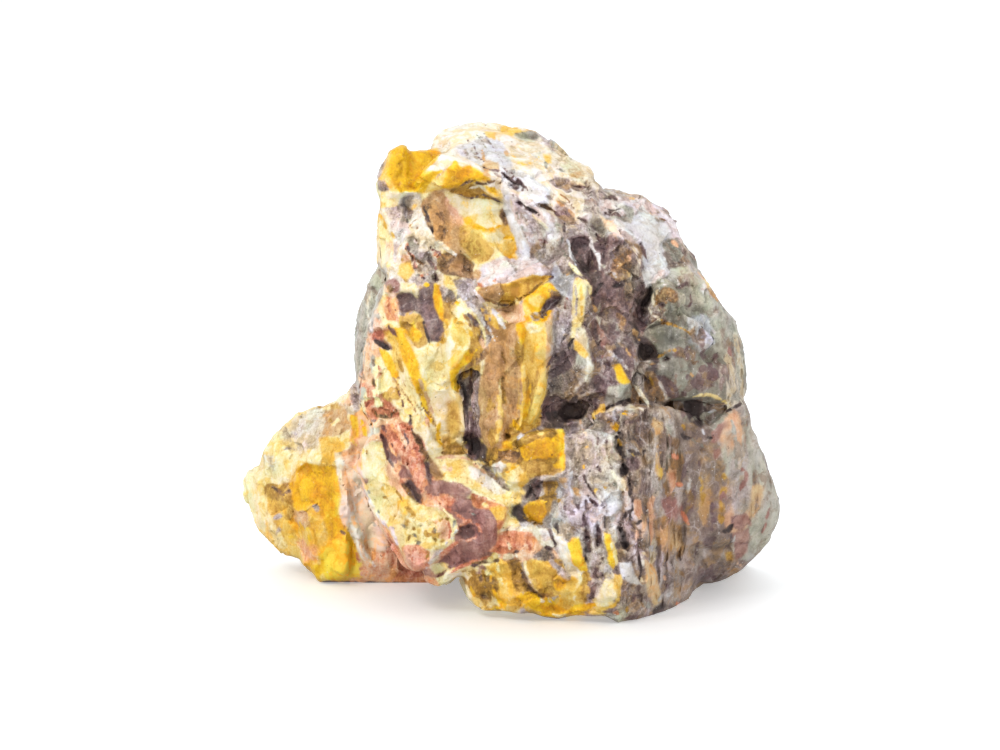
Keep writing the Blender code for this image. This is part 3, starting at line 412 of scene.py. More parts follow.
shoulder_ice ice 2 622,222 640,212 660,216 672,232 664,250 650,262 642,246 630,236
shoulder_blue slate 2 1 624,206 633,208 634,221 625,222
shoulder_warm peach 9 601,216 613,222 622,236 608,230
shoulder_low ice 2 643,252 662,250 668,262 660,284 646,290 642,272
boulder_dark pitch 3 mottled 3 634,300 644,290 653,283 653,298 648,312 640,330 634,330
shoulder_grey slate -1 mottled 1 604,206 622,204 634,212 632,226 616,226 606,220
# Laid last over the columns, the groove and the lens
columns_head tan -9 484,320 500,322 516,324 510,334 496,338 486,334
lens_glow honey -4 -1 520,284 536,277 550,277 540,285 530,294 520,297
lens_under tan -9 washed 480,300 490,303 500,306 514,304 518,310 506,316 494,313 484,308
column_knob_bright honey -1 mottled 502,424 518,422 522,436 508,440
groove_head ochre 5 mottled 460,366 478,358 482,366 474,376 462,380
flow_khaki ochre 10 washed 444,402 460,398 462,440 446,442
# The brown lump on the shoulder, and the boulder under its pale brow
lump ash -9 mottled -2 660,263 661,250 667,241 677,239 683,250 686,265 676,269 667,268
lump_rim ash 6 mottled 677,238 683,240 690,252 691,264 685,264 681,250
lump_shade slate 0 1 687,258 697,261 705,270 707,281 700,276 692,267
brow slate 10 -4 652,284 661,271 672,269 690,265 700,272 708,283 701,290 690,281 678,277 664,286 656,290
brow_yellow honey 9 705,277 711,281 712,290 706,286
boulder_green slate 6 690,284 700,289 712,300 720,322 724,345 712,338 704,308 694,298
boulder_beige slate 7 711,298 722,302 735,315 742,335 739,346 727,337 716,320
boulder_spot rust -4 -2 654,298 660,290 668,287 678,292 681,300 672,305 663,303 656,305
boulder_ash slate 1 mottled 680,289 695,289 696,305 690,322 680,316 678,302
boulder_olive ochre 0 flecked 650,322 676,322 690,334 676,342 652,338
boulder_plum plum 0 mottled 2 654,335 668,335 676,344 666,350 655,347
boulder_hole pitch -1 5 640,339 648,337 655,345 657,352 649,357 642,361 639,350
boulder_blue ice -5 flecked 690,318 706,318 712,334 698,338
boulder_teal slate 4 711,334 722,340 721,356 711,352
boulder_mid slate -3 streaked 648,362 668,360 694,356 712,356 716,394 692,398 676,400 664,385 655,372
boulder_mid_grey mauve -2 1 699,369 710,369 713,386 702,390
knot ash 3 mottled 632,370 650,370 650,386 632,386
trough_left rust -5 3 645,372 652,371 660,380 665,395 663,402 650,401 644,387
trough_right plum -1 4 656,376 664,375 676,387 681,398 673,403 664,392
far_flank pale -5 streaked 722,330 742,332 748,400 744,420 722,415 718,380 724,356
pit_bed slate -4 mottled 670,398 736,398 736,410 722,425 706,431 690,427 670,412
pit pitch 1 685,402 695,400 705,404 709,412 701,421 690,421 683,411
pit_right slate -8 mottled 3 704,403 722,402 732,410 724,418 708,418
# The brown face between them
green slate -6 606,319 615,317 619,331 612,335 605,330
dark plum 2 streaked 2 610,333 626,333 635,340 633,351 620,349 611,342
cleft plum -3 6 634,303 642,308 648,320 643,334 637,328 633,315
gold gold 0 -2 613,364 620,365 626,375 631,385 624,386 617,379
smooth slate 2.5 609,386 630,384 636,394 624,401 608,405 602,410
rust_wedge rust -3 2 633,385 640,391 647,402 641,405 631,403
pale_ledge ash 4 mottled -2 604,412 628,405 650,406 664,412 650,418 620,416 606,420
night plum -1 mottled 604,318 628,322 634,352 612,350
# Laid last over the boulder, the shoulder and the face
boulder_moss slate -9 mottled 1 650,316 672,312 690,322 694,346 680,358 660,360 646,350
boulder_lilac plum 3 flecked 686,346 716,340 720,380 700,392 684,380
boulder_green_rim slate 9 streaked -1 692,288 708,296 722,320 728,352 720,350 708,322 696,302
cap_olive ash -9 mottled 662,244 676,240 680,256 674,268 662,264
boulder_left_dark pitch 4 mottled 2 640,336 652,340 662,352 658,372 648,384 640,376 638,356
rubble_right_dark mauve 6 mottled 2 556,180 584,178 606,196 600,206 574,204 556,198
rubble_right_low mauve 4 mottled 2 556,206 584,208 590,226 572,230 558,222
boulder_blue_face ice -3 mottled 688,318 704,314 716,326 716,344 700,352 688,342
plate_umber tan -7 mottled 1 440,244 458,246 464,260 462,276 446,274 440,258
face_crevice pitch 3 mottled 2 622,318 638,322 640,346 628,348
face_lit mauve 5 washed 602,300 618,300 620,322 604,324
boulder_rim chalk 2 mottled 642,268 662,264 684,267 702,279 718,298 708,299 692,284 672,276 656,282
 645,282
shoulder_olive slate -7 mottled 664,240 676,238 688,254 690,264 672,264
boulder_cleft slate -9 mottled 656,344 684,346 684,358 660,358
# The foot of the columns, the mouth of the cavern, and the gold cube
flow_foot ochre 1 1 441,436 452,438 460,445 466,450 460,454 443,455
groove_foot pitch 2 4 463,437 478,438 486,447 492,458 490,466 482,461 470,450
column_shade tan -7 streaked 2 479,392 489,392 486,420 488,445 482,440
column_tip ochre -5 488,448 499,448 498,458 491,467 485,460
column_knob ochre 2 -3 506,438 508,430 513,425 520,427 523,433 518,438 508,442
cavern_deep pitch 12 5 561,410 565,403 576,401 584,404 587,412 583,418 572,419 562,417
cavern_slope plum 1 mottled 538,407 546,396 560,396 566,404 560,412 545,416 538,420
cavern_foot pitch 2 2 545,412 560,410 565,420 564,428 556,429 548,421
cube_top ochre 2 -2 516,440 528,433 545,429 560,430 558,437 540,438 522,446
cube_face gold -7 -3 520,446 538,439 556,436 560,445 557,458 545,460 526,461 519,455
cube_side gold 8 -4 557,430 566,430 569,445 568,468 563,472 559,462 560,444
cube_under honey 0 mottled 500,462 522,460 524,482 506,486
cube_hollow rust -3 5 498,452 508,448 520,450 521,458 514,463 499,460
cube_chip gold -2 -2 502,442 512,442 512,448 503,448
cube_mauve ash 1 1 534,478 550,474 564,473 565,484 552,481 540,484
shelf_cream cream 0 -2 436,457 460,455 475,462 500,476 510,490 508,508 488,503 465,496 446,482
shelf_white pale 6 -3 468,466 482,470 500,482 508,494 500,496 482,486 470,476
shelf_gold ochre 2 mottled 430,460 440,462 446,472 443,480 435,478 431,470
shelf_edge mauve 5 2 478,462 490,468 502,480 510,490 503,487 492,477
quartz_top chalk 7 -2 492,466 500,463 506,466 502,472 495,471
tooth cream -1 -3 504,474 510,468 519,465 524,472 522,486 514,491 508,486
tooth_gold honey -2 -1 519,474 526,472 529,482 522,488 518,484
quartz cream 6 mottled -3 509,492 520,489 527,492 522,502 512,512 504,530 498,532 500,512
block_dark plum -3 streaked 3 524,498 530,484 536,478 544,479 548,488 544,498 534,502
block_grey plum 0 mottled 544,481 556,481 560,490 554,498 544,498
small_cube gold -9 -3 524,506 530,502 546,501 548,512 542,522 530,520 520,514
small_cube_dark pitch 3 5 511,506 520,503 524,512 530,520 522,522 512,516
shelf_tan honey 0 mottled 430,456 446,456 458,462 456,476 444,480 434,474
block_brown ochre -6 1 544,482 562,482 568,496 562,516 548,520 546,504
cavern_right mauve 3 mottled 584,396 602,396 602,418 592,422 586,410
shelf_warm honey -1 washed 438,456 462,460 468,480 448,484 434,470
# The grey slab under the boulder, and its green border
grey mauve -1 streaked -1 622,412 636,406 650,406 650,450 640,456 626,450
dark mauve -9 streaked 1 641,411 650,409 650,428 640,445 630,442 634,428
plum plum 1 mottled 2 626,458 642,455 644,470 646,500 644,520 634,518 628,480
tan ash 1 streaked -1 649,412 676,410 680,450 684,500 680,560 660,590 650,560 648,480
yellow tan 6 mottled -1 652,418 663,420 664,446 660,480 654,470 651,440
green slate 1 streaked 664,424 673,424 675,470 666,472
brown rust -6 mottled 1 668,438 684,440 686,500 680,514 670,508 672,480
pink peach -7 mottled 664,470 676,470 680,520 668,560 660,540
maroon plum 4 mottled 3 684,440 690,436 692,470 698,484 694,510 686,530 680,500 684,470
pit_deep pitch -2 5 686,402 700,403 703,427 696,426 688,414
pit_grey slate -5 mottled 1 700,405 722,400 728,410 714,428 704,428
pit_lip_low maroon 7 -2 718,424 732,416 736,428 724,436 712,434
mark maroon 3 mottled 711,432 722,430 724,448 716,462 710,450
blot plum 1 mottled 4 689,458 702,458 703,466 696,477 689,474
orange tan 0 washed 692,445 712,446 714,478 712,505 704,530 696,500 700,480
green slate -1 streaked 1 712,466 722,468 720,492 714,510 712,530 708,500
gold ochre 4 mottled 722,472 735,474 736,490 726,496 724,520 719,522 719,496
flank_pink ash 1 mottled 735,404 748,404 752,430 746,470 750,500 740,512 730,500 734,450 730,420
flank_green slate 9 745,430 756,420 766,470 782,500 782,520 768,545 748,562 742,560 750,530 764,500
 756,470
flank_tan slate 8 724,430 736,428 742,460 738,478 726,476 722,450
flank_sand tan 10 washed 742,486 762,486 768,505 756,522 744,515
flank_low slate 5 752,520 764,512 768,535 752,552
flank_rose peach -5 washed 724,484 744,480 752,510 744,540 726,530
ledge_plum plum 0 mottled 4 696,540 712,536 730,528 734,540 726,552 716,556 708,548 698,556
ledge_mauve mauve 9 mottled 696,548 716,552 730,548 750,538 748,560 735,575 716,578 700,580 692,565
ledge_pink maroon 9 734,534 748,530 748,552 736,560
ledge_gold ochre 0 -1 726,552 732,552 733,560 727,561
foot plum 4 mottled 2 690,566 712,562 720,574 704,584 692,588
foot_warm rust 5 mottled 722,566 742,560 738,572 724,580
# Laid last over the slab
flank_warm ash 4 washed 726,460 746,456 752,500 744,520 728,510
rust_dark rust -3 mottled 1 652,478 668,476 672,500 664,508 652,500
rosy peach -7 streaked -1 630,500 652,500 656,520 652,545 634,540
pit_foot rust -5 mottled 1 686,424 706,426 712,440 700,456 688,446
flank_flush maroon 9 mottled 730,516 746,514 752,524 742,532 732,528
pit_lip mauve 6 656,402 682,402 684,418 660,418
mid mauve 9 washed 680,536 702,536 704,562 682,564
wine maroon 0 washed 660,498 680,496 684,520 664,524
flank_rose_high peach -4 washed 724,414 738,410 744,440 728,456 718,440
# The saddle, the smooth maroon slab and the orange strip
saddle_mauve maroon 5.5 425,482 440,480 462,484 474,492 462,498 444,494 428,494
saddle_peach brick 4 mottled 428,492 446,494 462,500 452,514 440,506 430,500
saddle_brown maroon 2 mottled 1 455,498 466,493 474,498 472,512 460,514 454,506
saddle_orange ember -3 -1 471,494 484,498 500,504 508,508 506,520 500,530 495,524 490,512 474,508
saddle_glow honey -1 -2 490,508 500,506 507,510 504,520 498,522 491,516
slab_maroon_main maroon 0.5 430,566 450,550 466,541 478,538 478,522 470,512 474,509 490,511 495,520
 497,536 492,550 478,558 462,566 444,574 436,578
slab_maroon_rim brick 1 -1 429,560 440,550 452,543 460,541 450,550 438,560 430,568
slab_maroon_fall brick 0 mottled -1 470,560 482,552 492,548 502,550 496,558 482,562
eye maroon -8 7 460,527 468,524 474,528 478,533 472,539 462,539 457,534
eye_top maroon -7 4 470,513 474,510 480,513 479,519 473,518
strip_cream pale 3 -2 500,530 512,528 530,526 545,528 556,534 556,546 545,550 536,540 520,534
strip_gold ochre 3 -1 504,532 515,531 521,540 519,548 512,546 506,540
strip_orange ember 0 mottled -2 519,532 530,532 536,540 534,550 528,558 521,552 522,542
strip_brick brick 3 mottled -1 495,548 502,540 509,545 512,552 503,558 494,556
strip_mauve mauve 1 mottled 1 533,554 545,547 556,548 556,558 545,562 535,560
strip_pink chalk -2 mottled -1 550,560 560,566 574,574 575,584 567,584 556,578 549,568
# The toe: amber and gold, in facets
olive ochre -3 mottled 460,570 474,566 482,570 480,585 474,596 464,586
mauve maroon 1 streaked 2 478,564 488,566 494,580 494,594 484,590 478,580
gold honey 0 -2 486,566 498,560 508,562 514,580 518,594 510,604 498,602 493,590 492,574
light honey 2 -1 500,576 508,574 513,590 520,598 508,602 500,592
brown ochre -4.5 3 506,561 518,559 522,568 526,580 534,592 526,593 516,580 510,570
khaki ochre 0 1 512,570 518,578 524,590 516,592 511,580
amber ochre 8 -1 532,580 545,576 556,577 560,588 560,596 550,598 538,592 533,586
orange honey -4.5 -1 524,562 534,560 548,568 552,574 540,577 530,580 526,572
hot gold -6 556,578 566,580 570,588 564,594 556,590 553,583
low gold -2 516,596 530,592 544,596 552,600 558,612 545,616 530,612 516,604
low_brown ochre -2 mottled 2 518,599 528,599 536,604 530,607 520,603
left_low ochre -2 mottled 474,596 490,599 502,603 498,610 488,611 478,603
dark_fold rust -1 4 477,593 484,595 490,600 482,599
bright gold 3 -1 497,598 506,600 509,606 503,609 498,604
rim gold -3 mottled 534,608 550,604 566,608 560,618 545,618
right honey 1 -2 562,590 574,574 584,572 590,590 586,606 570,610 558,604
right_gold gold 10 -2 566,614 574,605 584,602 588,608 578,614 568,618
back ochre 3 washed 2 580,570 586,570 590,588 586,602 580,600 583,585
under_saddle pale 9 washed 432,577 446,572 458,569 460,588 446,588 438,584
under_cream cream 6 436,580 446,576 450,586 444,588
strip_ember brick 2 mottled 500,534 514,530 524,536 530,548 520,556 504,556 498,546
# The crumbled mauve scree, and what runs down through it
scree ash 3 565,428 582,418 602,420 616,432 620,460 622,480 620,520 616,560 600,575 590,560 580,540
 560,545 548,520 556,490 566,474
pale chalk 0 flecked -1 566,430 616,432 622,480 618,530 600,540 560,520 566,474
dark ash 0 flecked 1 568,432 614,434 618,480 612,530 590,540 556,520 568,480
rose chalk 1 mottled -2 574,486 604,486 606,520 604,540 590,524 586,512 576,515
blue ice -2 mottled 604,488 622,488 620,520 612,536 606,510
foot mauve 5 flecked 1 586,552 602,550 608,575 598,590 590,606 586,600 590,575
left mauve 1 mottled 545,520 556,514 580,526 575,538 562,545 548,538
fall_white pale 10 -3 556,534 562,534 570,550 576,564 583,572 578,580 568,572 560,556
fall_white pale 3 mottled 612,528 622,545 632,556 634,570 626,574 616,560 612,545
strip_yellow gold 2.5 -5 567,545 572,538 579,537 582,546 583,558 587,570 580,571 573,562 570,552
strip_yellow gold 2 -4 604,532 610,534 613,548 616,562 613,570 609,568 608,556
dark_gash plum 1.5 streaked 6 579,522 583,516 588,526 588,540 588,556 585,552 582,536
dark_gash plum 2 3 597,524 600,530 602,545 597,546 595,536
cream_facet cream 3 -3 600,590 606,580 614,575 622,578 620,595 612,606 600,612 592,612 594,602
gold_facet honey 2 -1 614,575 622,574 623,584 617,594 614,590
honey_facet honey 2 588,608 600,606 612,608 604,615 590,614
rose_seam chalk -3 mottled 586,590 592,592 594,608 586,610
ice_facet ice 6 -3 619,563 630,562 636,575 642,585 630,584 622,576
# The foot of the slab, dark below
grey chalk 5 mottled 622,480 640,520 646,560 640,585 634,570 628,540
ash pale -1 mottled -1 640,540 656,540 660,570 655,600 645,590 641,565
gold tan 9 -1 646,560 655,570 660,590 662,602 653,606 647,592
mauve mauve 6 mottled 622,584 640,583 645,596 648,612 622,618 612,600 620,590
plum plum 0 mottled 2 602,612 614,608 628,616 640,612 655,608 668,602 672,608 650,618 615,622
dark pitch 3 3 652,610 662,604 669,601 666,607 655,614
right mauve 10 mottled 1 662,560 690,560 694,590 680,602 664,604 660,585
brown rust 2 streaked 652,520 670,515 684,530 690,555 676,560 660,550
sand tan 5 washed 656,530 672,526 680,545 668,552 658,545
toe_umber ochre -5 mottled 1 464,566 480,562 496,572 500,588 494,602 484,600 470,584
toe_fawn honey -5 mottled -1 526,568 540,562 556,570 566,584 560,596 544,596 532,584
wedge_pale pale 1 mottled 602,560 616,560 622,574 608,580
scree_tawny tan -3 mottled 560,478 578,480 582,500 572,508 562,500
scree_grey ash 3 flecked 600,478 620,478 622,500 602,502
# The brick flakes that hang down the left side
margin_grey ash 4 350,382 360,385 360,410 354,414 350,400
margin_pink brick 5 mottled 361,383 378,384 390,398 391,412 376,418 366,414 362,398
margin_brick brick -1 mottled 378,400 390,402 398,410 392,416 380,416 374,410
margin_sand cream -1 mottled 378,382 412,382 420,400 424,414 412,416 398,410 388,398
pitted cream 0 mottled 408,414 424,412 436,428 444,450 436,456 426,440 414,432
main brick 4.5 -3 373,420 392,418 400,420 408,434 418,450 426,470 428,486 422,496 414,486 410,470 400,452
 388,444 378,432
salmon brick 2 -1 385,424 397,424 403,440 403,452 396,452 388,440
right brick 1 -1 412,434 418,448 425,465 427,480 421,488 416,470 411,452
wine maroon 1 mottled 2 386,446 392,450 402,456 408,466 412,478 400,480 392,468 388,458
low brick 5 mottled 390,470 400,478 408,482 412,494 418,503 404,498 394,484
mauve brick 0 mottled 1 398,411 410,414 412,428 404,426 397,418
cream_top peach 5 -3 374,420 382,418 400,418 402,423 388,424 378,430 374,428
slot plum -4 6 403,483 410,480 416,486 422,497 422,503 417,503 410,494
slot_rust rust 0 4 402,484 406,486 414,498 418,503 412,500 405,491
hole rust 0 6 413,435 419,434 422,440 422,445 415,443
hole rust -6 5 416,449 423,448 427,453 424,456 417,453
hole plum 1 3 425,460 431,463 433,476 430,484 427,478
hole_gold tan -8 1 430,458 438,466 443,476 436,480 430,470
# The cream slab, speckled with dark pits
main cream 1 362,448 372,440 382,442 388,456 392,476 404,494 420,505 440,506 456,520 457,532 446,544
 436,552 426,566 414,571 400,552 390,538 376,514 366,498 360,478
white cream 6 -1 364,452 376,444 384,452 388,466 386,476 374,478 364,474
top pale 4 mottled 370,420 378,428 380,440 372,446 368,436
sand honey 4 mottled 376,484 394,484 406,500 420,514 414,524 400,512 386,500
gold ochre 5 mottled 408,508 416,516 418,530 410,538 404,524
green cream -3 sparse 400,516 430,514 436,540 420,548 406,536
peach peach -1 mottled -1 434,520 446,518 452,530 448,540 438,538 434,530
pink maroon 4 mottled 401,552 418,548 420,558 414,568 406,562
foot pale 1 mottled 418,556 430,552 442,546 448,545 440,556 430,566 420,570 414,566
under_lip maroon 7 mottled 412,570 426,568 438,574 446,588 436,582 422,576
slab_shade maroon 3 3 361,478 371,480 368,483 362,483
# The lobe: pale and cream to the left, gold in the middle, peach to the right
pale pale -3 washed 270,440 290,418 320,404 330,416 318,450 296,456 280,462
cream pale 0 washed 262,450 296,452 300,470 290,490 266,482 256,468
edge cream 2 242,478 262,458 270,470 266,500 262,525 250,505 243,492
edge_low cream -2 262,500 275,520 282,535 290,552 278,548 268,530
top_right pale -3 mottled 318,406 345,400 356,410 354,440 340,446 322,440
pink peach 7 washed 340,398 352,394 356,404 346,410
gold_high honey -1 320,438 336,436 346,446 336,462 322,466
gold_core gold -2 297,472 306,465 330,468 340,475 342,500 348,530 352,560 345,580 328,580 326,555 328,530
 318,505 300,505
gold_left gold -2 278,486 300,480 306,505 308,530 296,530 284,514
honey gold -2 mottled 284,520 310,510 326,520 328,560 320,582 308,575 298,556 288,540
rust tan -5 mottled 1 262,482 276,478 290,482 292,496 284,500 272,490
grey ash 6 mottled 268,524 278,522 284,530 276,536 269,532
tan gold -1 washed 308,500 322,500 322,540 312,540
ridge_cream pale 8 -2 334,452 356,450 360,480 364,520 366,548 376,566 368,568 358,550 350,520 342,490
ridge_tan ember 8 362,492 372,502 376,520 372,560 364,545 362,520
peach_face ember 7 374,518 388,530 400,552 402,572 376,570 368,556 368,530
peach_hot ember 3 378,556 390,548 396,556 396,570 382,570
peach_brick ember -4 386,532 396,545 400,556 394,558 386,545
peach_low ember 2 washed 352,560 372,570 400,572 420,576 436,586 352,586
peach_mid ember 8 washed 370,516 384,524 384,540 372,536
# Laid last over the lobe, and over the cream slab's edge
brown ember -8 washed 2 396,570 412,572 430,580 436,588 400,586
band pale 6 washed 334,470 352,466 360,490 364,530 360,556 348,548 342,510
blush brick 3 washed 378,528 392,538 402,554 414,572 396,574 384,552
block gold -3 -2 298,470 306,464 318,468 332,468 337,478 336,490 326,494 318,490 314,500 304,498 298,488
ember gold -2 mottled 326,508 338,512 342,524 340,540 330,536 326,522
amber gold 10 322,548 336,540 346,552 346,574 336,580 326,578 322,562
rosy ember 9 washed 290,540 304,536 316,548 320,562 306,562 294,552
olive ochre 5 washed 272,496 288,494 296,508 292,522 280,520 270,508
fawn gold -4 washed 308,498 322,500 322,512 312,514
dawn peach 14 washed 338,470 352,474 354,500 350,526 340,528 336,500
slab_cream_lip cream 6 430,566 442,562 456,570 456,580 440,580
tawny tan 4 mottled 318,410 344,404 352,430 340,440 322,436
flame gold -3 351,416 357,416 359,436 353,438
flush ember 6 mottled 340,452 356,450 358,470 344,474
sand tan 5 mottled 294,512 310,508 314,526 304,534 294,526
stripe_band gold -1 -1 393,328 403,330 411,344 417,360 422,378 427,394 421,397 413,384 406,366 400,348
stripe_band_low ochre 6 417,382 424,394 430,408 437,426 432,426 424,409 417,393
stripe_band_left gold -1 -1 379,348 386,352 393,362 398,376 392,377 386,364
left_gold honey -1 washed 262,484 284,486 290,500 284,530 270,524 264,504
hem gold 11 washed 340,534 352,538 360,558 362,578 340,580
slab_blush brick 7 402,546 418,544 430,552 428,566 418,572 408,562
seam peach 16 342,470 360,468 364,484 372,506 382,530 390,548 372,552 362,530 352,506
low_rust brick -1 mottled 398,562 420,572 440,584 400,582
top_gold ochre 7 mottled 318,404 336,402 340,408 322,412
tip_shade ochre 5 mottled 1 264,482 286,484 292,500 280,504 266,494
cream_slab_ochre ochre 6 flecked 420,518 444,518 448,540 424,546
cream_slab_warm peach -3 washed 380,456 392,460 400,482 390,484
margin_tan ochre 8 mottled 380,380 400,380 402,400 382,400
margin_ember ember 3 mottled 382,300 398,300 398,320 384,322
horn_light gold 4 washed 400,150 420,156 424,176 408,180
"""

